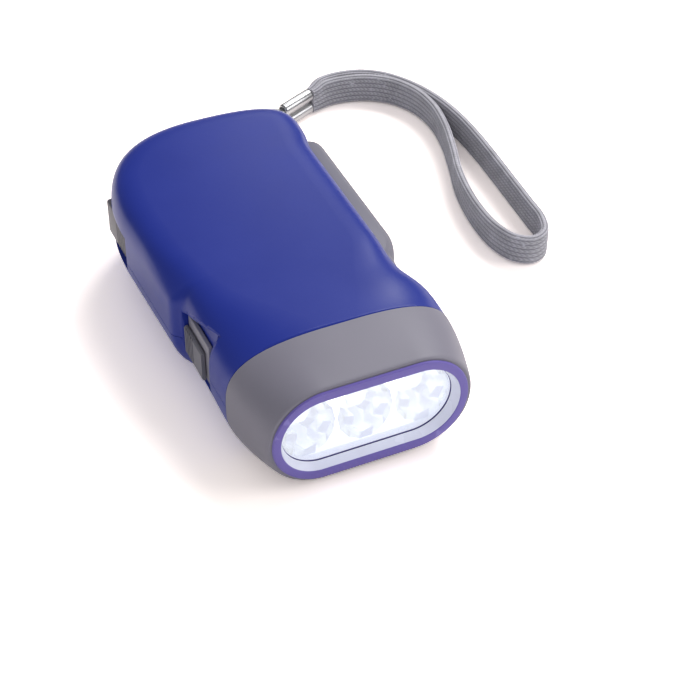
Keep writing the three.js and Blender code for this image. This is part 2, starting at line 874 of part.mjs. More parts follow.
// Rim piece: a thin flange over the front of the bezel, and a sleeve whose opening narrows
// towards the lens.
function lensRingSolid() {
  const flangeY = rimY + rimFlange;
  const rearFaceY = rimY + rimThickness;
  const flange = loft([
    headRing(flangeY, 1, rimRounding - rimFlangeStep),
    headRing(rimY, 1, rimRounding),
  ]);
  const sleeve = roundEndSlab(opticHalfWidth, opticHalfHeight, rearFaceY, rimY + rimFlange / 2);
  const opening = loft([
    openingRing(rearFaceY), openingRing(rimY), openingRing(rimY - cutOverrun),
  ]);
  const behind = loft([openingRing(rearFaceY), openingRing(rearFaceY + cutOverrun)]);
  return flange.add(sleeve).subtract(opening).subtract(behind);
}

// Outline of the rim's opening at one depth, narrowest at the lens.
function openingRing(y) {
  const depth = THREE.MathUtils.clamp((y - rimY) / rimThickness, 0, 1);
  return roundEndRing(
    openingHalfWidth - depth * rimDraftWidth, openingHalfHeight - depth * rimDraftHeight, y,
  );
}

function lensFrontY() {
  return rimY + rimThickness + lensGap;
}

function lensSolid() {
  return roundEndSlab(opticHalfWidth, opticHalfHeight, lensFrontY() + lensThickness, lensFrontY());
}

function reflectorFrontY() {
  return lensFrontY() + lensThickness + lightGap;
}

function lampX(place) {
  return place * cupPitch;
}

function reflectorSolid() {
  const frontY = reflectorFrontY();
  const rearFaceY = frontY + reflectorDepth;
  const flange = roundEndSlab(opticHalfWidth, opticHalfHeight, frontY + reflectorFlange, frontY);
  const bodyHalfWidth = opticHalfWidth - reflectorBodyInset;
  const bodyHalfHeight = opticHalfHeight - reflectorBodyInset;
  const body = roundEndSlab(bodyHalfWidth, bodyHalfHeight, rearFaceY, frontY);
  const cups = [-1, 0, 1].map((place) => cupCutter(lampX(place), frontY, rearFaceY));
  return flange.add(body).subtract(join(cups));
}

// Bowl of one lamp: a parabola from the throat at the rear to the mouth at the front.
function cupCutter(x, frontY, rearFaceY) {
  const depth = rearFaceY - frontY;
  const profile = [new THREE.Vector2(0, cutOverrun), new THREE.Vector2(cupThroatRadius, cutOverrun)];
  for (let step = 0; step <= bowlSteps; step += 1) {
    const share = step / bowlSteps;
    const squared = THREE.MathUtils.lerp(cupThroatRadius ** 2, cupRadius ** 2, share);
    profile.push(new THREE.Vector2(Math.sqrt(squared), -share * depth));
  }
  profile.push(new THREE.Vector2(cupRadius, -depth - cutOverrun));
  profile.push(new THREE.Vector2(0, -depth - cutOverrun));
  const bowl = new THREE.LatheGeometry(profile.reverse(), roundSides);
  return toSolid(bowl.translate(x, rearFaceY, rimCentreZ));
}

function lampBoardFrontY() {
  return reflectorFrontY() + reflectorDepth + fitGap;
}

function lampSolid(place) {
  const profile = [
    new THREE.Vector2(0, 0),
    new THREE.Vector2(lampFlangeRadius, 0),
    new THREE.Vector2(lampFlangeRadius, lampFlangeDepth),
    new THREE.Vector2(lampRadius, lampFlangeDepth),
  ];
  for (let step = 0; step <= domeSteps; step += 1) {
    const turn = (step / domeSteps) * (Math.PI / 2);
    const height = lampHeight - lampRadius + lampRadius * Math.sin(turn);
    const radius = step === domeSteps ? 0 : lampRadius * Math.cos(turn);
    profile.push(new THREE.Vector2(radius, height));
  }
  const lamp = new THREE.LatheGeometry(profile, smallSides);
  lamp.rotateX(Math.PI);
  return toSolid(lamp.translate(lampX(place), lampBoardFrontY() - lightGap, rimCentreZ));
}

function lampBoardSolid() {
  const halfWidth = opticHalfWidth - reflectorBodyInset - lightGap;
  const halfHeight = opticHalfHeight - reflectorBodyInset - lightGap;
  const frontY = lampBoardFrontY();
  return roundEndSlab(halfWidth, halfHeight, frontY + lampBoardThickness, frontY);
}

// Lever

// Plan outline of the lever at one height: boss, thin tongue, step out, palm face, round rear.
function leverRing(z, inset, innerX) {
  const rear = rimY + leverRearSetback;
  const tongueY = rimY + leverTongueSetback;
  const stepY = rimY + leverStepSetback;
  const face = leverFaceReach - inset;
  const tongue = leverTongueReach - inset;
  const rearFace = leverRearReach - inset;
  const rearEnd = rear - inset * bendShare;
  const curve = new THREE.Path();
  const neckY = leverPivot.y + leverNeckLead;
  curve.moveTo(innerX, neckY);
  curve.lineTo(leverPivot.x + leverBossRadius - fitGap - inset, neckY);
  curve.lineTo(leverTipReach - inset, rimY + leverTipSetback);
  curve.lineTo(tongue, tongueY);
  curve.lineTo(tongue, stepY);
  const shoulderY = stepY + leverStepLength;
  curve.quadraticCurveTo(face, shoulderY - leverStepRound, face, shoulderY + leverStepRound);
  curve.lineTo(rearFace, rear - leverRearRound);
  curve.bezierCurveTo(
    rearFace, rear - leverRearRound * (1 - bendShare),
    rearFace - leverRearRound * (1 - bendShare), rearEnd,
    rearFace - leverRearRound, rearEnd,
  );
  curve.lineTo(innerX, rearEnd);
  return curve.getPoints(leverRoundSteps).map((point) => new THREE.Vector3(point.x, point.y, z));
}

function leverForm(wall, innerX) {
  const middleZ = (leverBottomZ + leverTopZ) / 2;
  const half = (leverTopZ - leverBottomZ) / 2 - wall;
  const rings = [];
  for (let level = -leverLevels; level <= leverLevels; level += 1) {
    const share = Math.sin((level / leverLevels) * (Math.PI / 2));
    const rise = Math.abs(share) * leverCrownShare;
    const edge = leverEdgeWidth * (1 - (1 - rise ** headPower) ** (1 / headPower));
    rings.push(leverRing(middleZ + share * half, wall + edge, innerX));
  }
  return loft(rings);
}

// Hollow lever with its bearing boss, toothed sector, ribs, spring pocket and catch.
function leverSolid() {
  const form = leverForm(0, leverInnerReach);
  const hollow = leverForm(leverWall, leverInnerReach - cutOverrun).intersect(block(
    0, leverFaceReach, leverPivot.y + leverBossRadius, rimY + leverRearSetback, 0, bodyHeight,
  ));
  const springZ = (leverBottomZ + leverTopZ) / 2;
  const pocket = post(
    leverPivot, springPocketRadius, springZ - springPocketHeight / 2, springZ + springPocketHeight / 2,
  );
  const lever = join([
    form.subtract(hollow),
    post(leverPivot, leverBossRadius, leverBottomZ, leverTopZ),
    slab(sectorShape(), sectorZ, sectorZ + sectorThickness),
    leverRibs(form),
    leverCatch(),
  ]);
  return lever.subtract(pocket)
    .subtract(post(leverPivot, pinRadius + lightGap, 0, bodyHeight, smallSides));
}

// Cross ribs that stiffen the hollow of the lever.
function leverRibs(form) {
  const ribs = leverRibShares.map((share) => {
    const y = THREE.MathUtils.lerp(leverPivot.y, rimY + leverRearSetback, share);
    return block(leverInnerReach, leverFaceReach, y, y + leverRibWidth, leverBottomZ, leverTopZ);
  });
  return join(ribs).intersect(form);
}

// Small ledge inside the rear end, which the lock bar stands beside.
function leverCatch() {
  const rear = rimY + leverRearSetback - leverWall / 2;
  return block(
    leverCatchX, leverInnerReach + leverWall, rear - leverCatchLength, rear,
    leverBottomZ, sectorZ + sectorThickness,
  );
}

function leverPinSolid() {
  return post(leverPivot, pinRadius, floorZ + lightGap, ceilingZ - lightGap, smallSides);
}

// Toothed sector: teeth on an arc about the pivot, with a web back to the lever's inner side.
function sectorShape() {
  const shape = new THREE.Shape();
  const pitch = (2 * Math.PI) / sectorTeeth;
  const root = sectorRadius - dedendumShare * gearModule;
  const startAngle = firstMeshAngle + (sectorFirstTooth - 1) * pitch;
  const endAngle = firstMeshAngle + (sectorLastTooth + 1) * pitch;
  const at = (radius, angle) => stepOff(leverPivot, radius, angle);
  const webX = leverInnerReach + leverWall;
  shape.moveTo(leverPivot.x, leverPivot.y);
  shape.lineTo(webX, leverPivot.y);
  shape.lineTo(webX, leverPivot.y + sectorRadius * sectorWebShare);
  shape.lineTo(at(root, startAngle).x, at(root, startAngle).y);
  for (let tooth = sectorFirstTooth; tooth <= sectorLastTooth; tooth += 1) {
    toothPoints(sectorTeeth, firstMeshAngle + tooth * pitch).forEach(({ radius, angle }) => {
      const point = at(radius, angle);
      shape.lineTo(point.x, point.y);
    });
  }
  const end = at(root, endAngle);
  shape.lineTo(end.x, end.y);
  const heel = at(leverBossRadius, endAngle + Math.PI / 4);
  shape.lineTo(heel.x, heel.y);
  shape.closePath();
  return shape;
}

// Root, flank and tip points of one tooth about its gear's centre.
function toothPoints(teeth, middle) {
  const radius = (gearModule * teeth) / 2;
  const pitch = (2 * Math.PI) / teeth;
  const root = radius - dedendumShare * gearModule;
  const tip = radius + addendumShare * gearModule;
  return [
    { radius: root, angle: middle - rootHalfShare * pitch },
    { radius, angle: middle - toothHalfShare * pitch },
    { radius: tip, angle: middle - tipHalfShare * pitch },
    { radius: tip, angle: middle + tipHalfShare * pitch },
    { radius, angle: middle + toothHalfShare * pitch },
    { radius: root, angle: middle + rootHalfShare * pitch },
  ];
}

// Gears

function gearSlab(centre, teeth, firstTooth, fromZ, toZ) {
  const shape = new THREE.Shape();
  for (let tooth = 0; tooth < teeth; tooth += 1) {
    const middle = firstTooth + (tooth * 2 * Math.PI) / teeth;
    toothPoints(teeth, middle).forEach(({ radius, angle }, i) => {
      const point = stepOff(centre, radius, angle);
      if (tooth === 0 && i === 0) shape.moveTo(point.x, point.y);
      else shape.lineTo(point.x, point.y);
    });
  }
  shape.closePath();
  return slab(shape, fromZ, toZ);
}

// First tooth of a gear whose gap faces a neighbour's tooth in the given direction.
function gapTowards(angle, teeth) {
  return angle + Math.PI / teeth;
}

// Lightening holes in the web of a wheel.
function webHoles(centre, teeth, fromZ, toZ) {
  const rootRadius = (gearModule * teeth) / 2 - 2 * gearModule;
  const ringRadius = (rootRadius + hubRadius) / 2;
  const holeRadius = (rootRadius - hubRadius) * webHoleShare;
  const holes = [];
  for (let hole = 0; hole < webHoleCount; hole += 1) {
    const place = stepOff(centre, ringRadius, (hole * 2 * Math.PI) / webHoleCount);
    holes.push(post(place, holeRadius, fromZ - cutOverrun, toZ + cutOverrun, smallSides));
  }
  return join(holes);
}

function compoundGear(centre, pinion, wheel, hubTopZ) {
  const wheelTopZ = wheel.z + wheelThickness;
  const wheelDisc = gearSlab(centre, wheel.teeth, wheel.firstTooth, wheel.z, wheelTopZ)
    .subtract(webHoles(centre, wheel.teeth, wheel.z, wheelTopZ));
  return join([
    post(centre, hubRadius, axleFootZ + gearSideGap, hubTopZ),
    gearSlab(centre, pinion.teeth, pinion.firstTooth, pinion.z, wheel.z + wheelThickness / 2),
    wheelDisc,
  ]).subtract(post(centre, axleRadius + lightGap, 0, bodyHeight, smallSides));
}

function firstGearSolid() {
  const towardsLever = firstMeshAngle + Math.PI;
  return compoundGear(
    firstCentre,
    { teeth: firstPinionTeeth, firstTooth: gapTowards(towardsLever, firstPinionTeeth), z: firstPinionZ },
    { teeth: firstWheelTeeth, firstTooth: secondMeshAngle, z: firstWheelZ },
    gearPlateZ - gearSideGap,
  );
}

function secondGearSolid() {
  const towardsFirst = secondMeshAngle + Math.PI;
  return compoundGear(
    secondCentre,
    { teeth: secondPinionTeeth, firstTooth: gapTowards(towardsFirst, secondPinionTeeth), z: secondPinionZ },
    { teeth: secondWheelTeeth, firstTooth: rotorMeshAngle, z: secondWheelZ },
    gearPlateZ - gearSideGap,
  );
}

function rotorTopZ() {
  return magnetZ + magnetHeight;
}

function flywheelSolid() {
  const towardsSecond = rotorMeshAngle + Math.PI;
  const firstTooth = gapTowards(towardsSecond, rotorPinionTeeth);
  const pinionTopZ = rotorPinionZ + pinionLength;
  return join([
    post(rotorCentre, hubRadius, axleFootZ + gearSideGap, rotorTopZ()),
    gearSlab(rotorCentre, rotorPinionTeeth, firstTooth, rotorPinionZ, pinionTopZ),
    post(rotorCentre, flywheelRadius, flywheelZ, flywheelZ + flywheelThickness - lightGap),
    post(rotorCentre, magnetInnerRadius - fitGap, flywheelZ, rotorTopZ()),
  ]).subtract(post(rotorCentre, axleRadius + lightGap, 0, bodyHeight, smallSides));
}

function magnetSolid() {
  return tubePost(rotorCentre, magnetOuterRadius, magnetInnerRadius, magnetZ, rotorTopZ());
}

// Plate that steadies the upper ends of the gear axles.
function gearPlateSolid() {
  const topZ = gearPlateZ + gearPlateThickness;
  const centres = axlePlaces();
  const pads = centres.map((centre) => post(centre, gearPlateMargin, gearPlateZ, topZ));
  const links = centres.map((centre, i) => plateLink(centre, centres[(i + 1) % centres.length]));
  const bores = [firstCentre, secondCentre].map((centre) => (
    post(centre, axleRadius + lightGap / 2, 0, bodyHeight, smallSides)
  ));
  bores.push(post(rotorCentre, hubRadius + fitGap, 0, bodyHeight));
  return join([...pads, ...links]).subtract(join(bores));
}

function plateLink(from, to) {
  const along = new THREE.Vector2().subVectors(to, from);
  const side = new THREE.Vector2(-along.y, along.x).setLength(gearPlateMargin * plateLinkShare);
  const corners = [
    from.clone().add(side), from.clone().sub(side), to.clone().sub(side), to.clone().add(side),
  ];
  return slab(new THREE.Shape(corners), gearPlateZ, gearPlateZ + gearPlateThickness);
}

// Fixed pin from its boss in the floor to the given height.
function axleSolid(centre, topZ) {
  return post(centre, axleRadius, floorZ + lightGap, topZ, smallSides);
}

// Laminated core: two pole arcs beside the rotor, arms and a yoke towards the lamps.
function poleRing(fromRadius, toRadius) {
  return tubePost(rotorCentre, toRadius, fromRadius, coreZ, coreZ + coreHeight, ringSides);
}

function statorCoreSolid() {
  const inner = magnetOuterRadius + airGap;
  const outer = inner + poleThickness;
  const sideCut = outer * Math.cos(poleArcHalfAngle);
  const topZ = coreZ + coreHeight;
  const parts = [block(
    rotorCentre.x - outer, rotorCentre.x + outer,
    rotorCentre.y - yokeDistance - yokeWidth, rotorCentre.y - yokeDistance, coreZ, topZ,
  )];
  [-1, 1].forEach((side) => {
    const near = rotorCentre.x + side * sideCut;
    const far = rotorCentre.x + side * outer;
    const armNear = far - side * poleThickness;
    const pole = block(
      Math.min(near, far), Math.max(near, far),
      rotorCentre.y - outer, rotorCentre.y + outer, coreZ, topZ,
    );
    parts.push(poleRing(inner, outer).intersect(pole));
    parts.push(block(
      Math.min(armNear, far), Math.max(armNear, far),
      rotorCentre.y - yokeDistance - yokeWidth / 2, rotorCentre.y, coreZ, topZ,
    ));
  });
  return join(parts).subtract(post(rotorCentre, inner, 0, bodyHeight, ringSides));
}

function coilFrame(grow, length) {
  const y = rotorCentre.y - yokeDistance - yokeWidth / 2;
  return block(
    rotorCentre.x - length / 2, rotorCentre.x + length / 2,
    y - yokeWidth / 2 - grow, y + yokeWidth / 2 + grow,
    coreZ - grow, coreZ + coreHeight + grow,
  );
}

function bobbinSolid() {
  const cheek = coilLength / 2 + bobbinWall;
  const cheeks = coilFrame(lightGap + bobbinWall + coilBuild, 2 * cheek)
    .subtract(coilFrame(lightGap + 2 * bobbinWall + coilBuild, coilLength));
  return cheeks.add(coilFrame(lightGap + bobbinWall, 2 * cheek))
    .subtract(coilFrame(lightGap, 2 * cheek + cutOverrun));
}

function coilSolid() {
  return coilFrame(bobbinWall + coilBuild - lightGap, coilLength - 2 * lightGap)
    .subtract(coilFrame(2 * lightGap + bobbinWall, coilLength + cutOverrun));
}

// Electrics

function cellCentre() {
  return new THREE.Vector2(cellX, rimY + cellSetback);
}

function cellCradle() {
  const inner = cellRadius + fitGap;
  const ring = tubePost(cellCentre(), inner + cradleWall, inner, 0, floorZ + cradleHeight);
  const mouth = block(
    cellX - contactTailWidth, cellX + contactTailWidth,
    cellCentre().y, cellCentre().y + 2 * cellRadius, 0, bodyHeight,
  );
  return ring.subtract(mouth);
}

function cellFootZ(place) {
  return floorZ + fitGap + place * (cellHeight + cellGap);
}

// One rechargeable button cell: a can with a narrower cap on top.
function cellSolid(place) {
  const footZ = cellFootZ(place);
  const can = post(cellCentre(), cellRadius, footZ, footZ + cellHeight - cellCapHeight);
  return can.add(post(cellCentre(), cellRadius * cellCapShare, footZ, footZ + cellHeight));
}

function contactZ() {
  return cellFootZ(cellCount) - cellGap + lightGap;
}

// Flat spring contact on top of the cell stack, with a tail towards the board.
function cellContactSolid() {
  const centre = cellCentre();
  const topZ = contactZ() + contactThickness;
  const disc = post(centre, contactRadius, contactZ(), topZ);
  const tailX = centre.x + contactTailLength;
  const halfTail = contactTailWidth / 2;
  const tail = block(centre.x, tailX, centre.y - halfTail, centre.y + halfTail, contactZ(), topZ);
  const leg = block(
    tailX - contactThickness, tailX, centre.y - halfTail, centre.y + halfTail,
    boardFootZ() + boardThickness + fitGap, topZ,
  );
  return join([disc, tail, leg]);
}

function boardFootZ() {
  return floorZ + boardPegHeight + lightGap;
}

function boardPegPlaces() {
  const y = rimY + boardSetback;
  const reach = boardLength / 2 - 2 * boardPegRadius;
  return [new THREE.Vector2(boardX, y - reach), new THREE.Vector2(boardX, y + reach)];
}

function circuitBoardSolid() {
  const y = rimY + boardSetback;
  return block(
    boardX - boardWidth / 2, boardX + boardWidth / 2, y - boardLength / 2, y + boardLength / 2,
    boardFootZ(), boardFootZ() + boardThickness,
  );
}

function chokeSolid() {
  const footZ = boardFootZ() + boardThickness + lightGap;
  const centre = new THREE.Vector2(boardX, rimY + boardSetback - boardLength * chokePlaceShare);
  const waist = post(centre, chokeRadius * cellCapShare, footZ, footZ + chokeHeight);
  const rimHeight = chokeHeight * chokeRimShare;
  const rims = [footZ, footZ + chokeHeight - rimHeight].map((z) => (
    post(centre, chokeRadius, z, z + rimHeight)
  ));
  return join([waist, ...rims]);
}

// Slide switch

function switchPlateSolid() {
  const outerX = switchPlateX();
  const toY = switchRearY() + lightGap;
  const leaf = block(
    outerX, outerX + switchPlateThickness, toY - switchPlateLength, toY,
    partingZ - switchPlateHalfHeight, partingZ + switchPlateHalfHeight,
  );
  const stem = block(
    outerX, switchFloorX() + shellWall + fitGap, switchStemY(), switchStemY() + switchStemLength,
    partingZ - switchStemHalfHeight, partingZ + switchStemHalfHeight,
  );
  return leaf.add(stem);
}

// Thumb piece that stands off the plate on a foot, with bevelled long edges and upright grooves.
function knobSolid() {
  const outerX = -knobReach;
  const innerX = outerX + knobThickness;
  const toY = switchRearY();
  const footY = toY - (knobLength - knobFootLength) / 2;
  const foot = block(
    innerX - knobBevel, switchPlateX() - lightGap, footY - knobFootLength, footY,
    partingZ - knobFootHalfHeight, partingZ + knobFootHalfHeight,
  );
  const section = new THREE.Shape([
    new THREE.Vector2(innerX, -knobHalfHeight),
    new THREE.Vector2(outerX + knobBevel, -knobHalfHeight),
    new THREE.Vector2(outerX, -knobHalfHeight + knobBevel),
    new THREE.Vector2(outerX, knobHalfHeight - knobBevel),
    new THREE.Vector2(outerX + knobBevel, knobHalfHeight),
    new THREE.Vector2(innerX, knobHalfHeight),
  ]);
  const bar = new THREE.ExtrudeGeometry(section, { depth: knobLength, bevelEnabled: false });
  bar.rotateX(Math.PI / 2).translate(0, toY, partingZ);
  return toSolid(bar).add(foot)
    .subtract(grooves(outerX, toY, -1, knobRibCount, knobRibPitch, knobRibDepth));
}

// Upright grooves cut into a flank face, stepping along Y from one end.
function grooves(faceX, fromY, direction, count, pitch, depth) {
  const cuts = [];
  for (let groove = 1; groove <= count; groove += 1) {
    const y = fromY + direction * groove * pitch;
    const half = pitch * grooveHalfShare;
    cuts.push(block(faceX - cutOverrun, faceX + depth, y - half, y + half, 0, bodyHeight));
  }
  return join(cuts);
}

function switchBlockSolid() {
  const fromX = switchFloorX() + shellWall + 2 * fitGap;
  const middleY = switchStemY() + (switchStemLength - switchTravel) / 2;
  const halfLength = (switchStemLength + switchTravel) / 2 + shellWall;
  const body = block(
    fromX, fromX + switchBlockDepth, middleY - halfLength, middleY + halfLength,
    partingZ - switchBlockHalfHeight, partingZ + switchBlockHalfHeight,
  );
  const tails = [-1, 0, 1].map((place) => {
    const y = middleY + place * switchTailPitch;
    return block(
      fromX + switchBlockDepth - lightGap, fromX + switchBlockDepth + switchTailReach,
      y - switchTailWidth / 2, y + switchTailWidth / 2,
      partingZ - switchTailWidth, partingZ + switchTailWidth,
    );
  });
  return join([body, ...tails]);
}

// Lock slider

function lockSliderSolid() {
  const outerX = -lockReach;
  const leaf = block(
    outerX, outerX + lockThickness, lockFrontY(), lockFrontY() + lockLength, lockBottomZ, lockTopZ,
  );
  const stem = block(
    outerX + lockThickness / 2, lockBarX() - lightGap,
    lockStemY(), lockStemY() + lockStemLength,
    partingZ - lockStemHalfHeight, partingZ + lockStemHalfHeight,
  );
  return leaf.subtract(grooves(outerX, lockFrontY(), 1, lockRibCount, lockRibPitch, lockRibDepth))
    .add(stem);
}

// Bar that carries the lock under the gears to the tail of the lever.
function lockBarSolid() {
  const fromX = lockBarX();
  const fromY = lockStemY();
  const toY = fromY + lockStemLength;
  const heel = block(fromX, fromX + lockBarWidth, fromY, toY, lockBarZ, partingZ + lockStemHalfHeight);
  const bar = block(fromX, lockNoseX, fromY, toY, lockBarZ, lockBarZ + lockBarWidth);
  const nose = block(
    lockNoseX - lockBarWidth, lockNoseX, fromY, toY, lockBarZ, lockBarZ + lockNoseHeight,
  );
  return join([heel, bar, nose]);
}

// Fasteners and pins

function screwSolid(centre) {
  const headTop = screwSink + screwHeadHeight;
  const head = post(centre, screwHeadRadius, screwSink, headTop);
  const shank = post(centre, screwShankRadius, screwSink, headTop + screwLength, smallSides);
  const half = screwCrossLength / 2;
  const narrow = screwCrossWidth / 2;
  const bar = (halfX, halfY) => block(
    centre.x - halfX, centre.x + halfX, centre.y - halfY, centre.y + halfY,
    screwSink - cutOverrun, screwSink + screwCrossDepth,
  );
  return head.add(shank).subtract(bar(half, narrow)).subtract(bar(narrow, half));
}

function returnSpringSolid() {
  const middleZ = (leverBottomZ + leverTopZ) / 2;
  const height = springPocketHeight - springWire - 2 * fitGap;
  const steps = springTurns * springTurnSteps;
  const points = [];
  const place = (radius, angle, z) => {
    const at = stepOff(leverPivot, radius, angle);
    points.push(new THREE.Vector3(at.x, at.y, z));
  };
  const bottomZ = middleZ - height / 2;
  const leg = new THREE.Vector3(leverPivot.x - springMeanRadius, leverPivot.y - springLegLength, bottomZ);
  points.push(leg);
  for (let step = 0; step <= steps; step += 1) {
    const angle = Math.PI - (step / springTurnSteps) * 2 * Math.PI;
    place(springMeanRadius, angle, bottomZ + (height * step) / steps);
  }
  const last = points.at(-1);
  points.push(new THREE.Vector3(last.x, last.y + springLegLength, last.z));
  return tubeAlong(points, springWire / 2, springSides, steps + 2 * springTurnSteps);
}

function roundSection(radius, sides) {
  const centre = new THREE.Vector2(0, 0);
  const corners = [];
  for (let side = 0; side < sides; side += 1) {
    corners.push(stepOff(centre, radius, (side / sides) * 2 * Math.PI));
  }
  return new THREE.Shape(corners);
}

function tubeAlong(points, radius, sides, steps) {
  const path = new THREE.CatmullRomCurve3(points, false, 'centripetal');
  const options = { steps, extrudePath: path, bevelEnabled: false };
  return toSolid(new THREE.ExtrudeGeometry(roundSection(radius, sides), options));
}

// Strap, crimp and loop cord

const crimpAlong = new THREE.Vector2(Math.cos(crimpAngle), Math.sin(crimpAngle));
const crimpAcross = new THREE.Vector2(-Math.sin(crimpAngle), Math.cos(crimpAngle));
const strapMiddleZ = strapWidth / 2 + strapFloorGap;
const crimpMiddleZ = crimpHeight / 2 + strapFloorGap;

function crimpPlace(along, across, z) {
  const x = crimpX + along * crimpAlong.x + across * crimpAcross.x;
  const y = crimpY + along * crimpAlong.y + across * crimpAcross.y;
  return new THREE.Vector3(x, y, z);
}

// Two rolled lobes, one above the other, with a slot between them on each face.
function crimpSection() {
  const half = crimpThickness / 2;
  const height = crimpHeight / 2;
  const lobe = (height - crimpSlotHeight / 2) / 2;
  const lobeX = half - lobe;
  const lobeY = crimpSlotHeight / 2 + lobe;
  const back = -half + crimpBackRound;
  const shape = new THREE.Shape();
  shape.moveTo(half - crimpSlotDepth, -crimpSlotHeight / 2);
  shape.absarc(lobeX, -lobeY, lobe, slotTurn(lobe), -Math.PI / 2, true);
  shape.lineTo(back, -height);
  shape.quadraticCurveTo(-half, -height, -half, -height + crimpBackRound);
  shape.lineTo(-half, height - crimpBackRound);
  shape.quadraticCurveTo(-half, height, back, height);
  shape.absarc(lobeX, lobeY, lobe, Math.PI / 2, -slotTurn(lobe), true);
  shape.lineTo(half - crimpSlotDepth, crimpSlotHeight / 2);
  shape.closePath();
  return shape;
}

// Turn at which a lobe of the crimp runs into the slot between the lobes.
function slotTurn(lobe) {
  return Math.acos(Math.min(1, (crimpSlotDepth / 2) / lobe));
}

function crimpSolid() {
  const options = { depth: crimpLength, bevelEnabled: false, curveSegments: crimpArcSteps };
  const bar = new THREE.ExtrudeGeometry(crimpSection(), options);
  bar.translate(0, 0, -crimpLength / 2);
  const lobe = (crimpHeight - crimpSlotHeight) / 4;
  const mouth = new THREE.CylinderGeometry(
    crimpMouthRadius, crimpMouthRadius, 2 * crimpMouthDepth, smallSides,
  );
  mouth.rotateX(Math.PI / 2);
  mouth.translate(crimpThickness / 2 - lobe, loopCordZ() - crimpMiddleZ, crimpLength / 2);
  const frame = new THREE.Matrix4().makeBasis(
    new THREE.Vector3(-crimpAcross.x, -crimpAcross.y, 0),
    new THREE.Vector3(0, 0, 1),
    new THREE.Vector3(-crimpAlong.x, -crimpAlong.y, 0),
  );
  frame.setPosition(crimpX, crimpY, crimpMiddleZ);
  return toSolid(bar.applyMatrix4(frame)).subtract(toSolid(mouth.applyMatrix4(frame)));
}

// Route of the strap, seen from above, from the crimp round its loop and back.
const strapRoute = [
  [47, 79.6], [52.5, 79.4], [58.4, 77.5], [63.9, 73.1], [67.6, 66.3], [68.8, 58], [67.6, 48.5],
  [64.9, 38.5], [61.9, 29], [60.2, 20], [59.6, 11.5], [60.2, 4.4], [62.4, -1.0], [66.2, -3.4],
  [69.9, -1.8], [71.9, 3.2], [72.3, 11], [72.7, 21], [73.1, 31], [73.3, 41], [72.9, 51], [71.3, 60.5],
  [68, 69.4], [63.1, 76.6], [57.6, 80.5], [52, 81.9], [46.6, 81.7],
];

function strapCurve() {
  const offset = strapThickness / 2 + lightGap;
  const exit = crimpLength / 2 + fitGap;
  const front = crimpPlace(exit, -offset, strapMiddleZ);
  const back = crimpPlace(exit, offset, strapMiddleZ);
  const middle = strapRoute.map(([x, y]) => new THREE.Vector3(x, y, strapMiddleZ));
  return new THREE.CatmullRomCurve3([front, ...middle, back], false, 'centripetal');
}

// Flat woven cord standing on its edge: eight-sided section, long side upright.
function strapSolid() {
  const halfWidth = strapWidth / 2;
  const halfThickness = strapThickness / 2;
  const flatWidth = halfWidth - strapEdgeRound;
  const flatThickness = halfThickness - strapEdgeRound;
  const section = new THREE.Shape([
    new THREE.Vector2(halfWidth, -flatThickness),
    new THREE.Vector2(halfWidth, flatThickness),
    new THREE.Vector2(flatWidth, halfThickness),
    new THREE.Vector2(-flatWidth, halfThickness),
    new THREE.Vector2(-halfWidth, flatThickness),
    new THREE.Vector2(-halfWidth, -flatThickness),
    new THREE.Vector2(-flatWidth, -halfThickness),
    new THREE.Vector2(flatWidth, -halfThickness),
  ]);
  const options = { steps: strapSteps, extrudePath: strapCurve(), bevelEnabled: false };
  return toSolid(new THREE.ExtrudeGeometry(section, options));
}

// Thin cord: out of the crimp, round the pin in the rear corner and back into the crimp.
function loopCordSolid() {
  const pin = lugPinCentre();
  const turnRadius = lugPinRadius + loopCordDiameter / 2 + fitGap;
  const pinZ = (lugBottomZ + lugTopZ) / 2;
  const turn = [];
  for (let step = 0; step <= loopTurnSteps; step += 1) {
    const at = stepOff(pin, turnRadius, -(step / loopTurnSteps) * Math.PI);
    turn.push(new THREE.Vector3(at.x, at.y, pinZ));
  }
  const points = [...loopSide(1), ...turn, ...loopSide(-1).reverse()];
  return tubeAlong(points, loopCordDiameter / 2, cordSides, loopSteps);
}

function loopCordZ() {
  return crimpMiddleZ + crimpHeight / 4;
}

// One strand of the thin cord, from the mouth of the crimp to the side of the lug pin.
function loopSide(side) {
  const nearSpread = loopCordDiameter / 2 + lightGap / 2;
  const lobe = (crimpHeight - crimpSlotHeight) / 4;
  const shift = lobe - crimpThickness / 2;
  const farSpread = lugPinRadius + loopCordDiameter / 2 + fitGap;
  const pinZ = (lugBottomZ + lugTopZ) / 2;
  const entry = crimpMouthDepth - fitGap - crimpLength / 2;
  const across = shift - side * nearSpread;
  const start = crimpPlace(entry, across, loopCordZ());
  const lead = crimpPlace(entry - crimpMouthDepth - loopLead, across, loopCordZ() + loopLead / 2);
  const run = [start, crimpPlace(entry - crimpMouthDepth, across, loopCordZ()), lead];
  const pin = lugPinCentre();
  loopRunShares.forEach((share, i) => {
    const middleX = THREE.MathUtils.lerp(lead.x, pin.x, Math.min(1, share * loopSwing));
    const y = THREE.MathUtils.lerp(lead.y, pin.y + loopLead, share);
    const spread = THREE.MathUtils.lerp(nearSpread, farSpread, loopSpreadShares[i]);
    const z = THREE.MathUtils.lerp(lead.z, pinZ, loopRiseShares[i]);
    run.push(new THREE.Vector3(middleX + side * spread, y, z));
  });
  return run;
}

// Assembly

function material(colour, roughness, metalness = 0) {
  return new THREE.MeshStandardMaterial({ color: colour, roughness, metalness });
}

function piece(name, solid, finish) {
  const mesh = new THREE.Mesh(toGeometry(solid), finish);
  mesh.name = name;
  return mesh;
}

const blue = material(plate.body, 0.45);
const grey = material(plate.grey, 0.5);
const darkGrey = material(plate.dark, 0.5);
const steel = material(metal.steel, 0.3, 1);

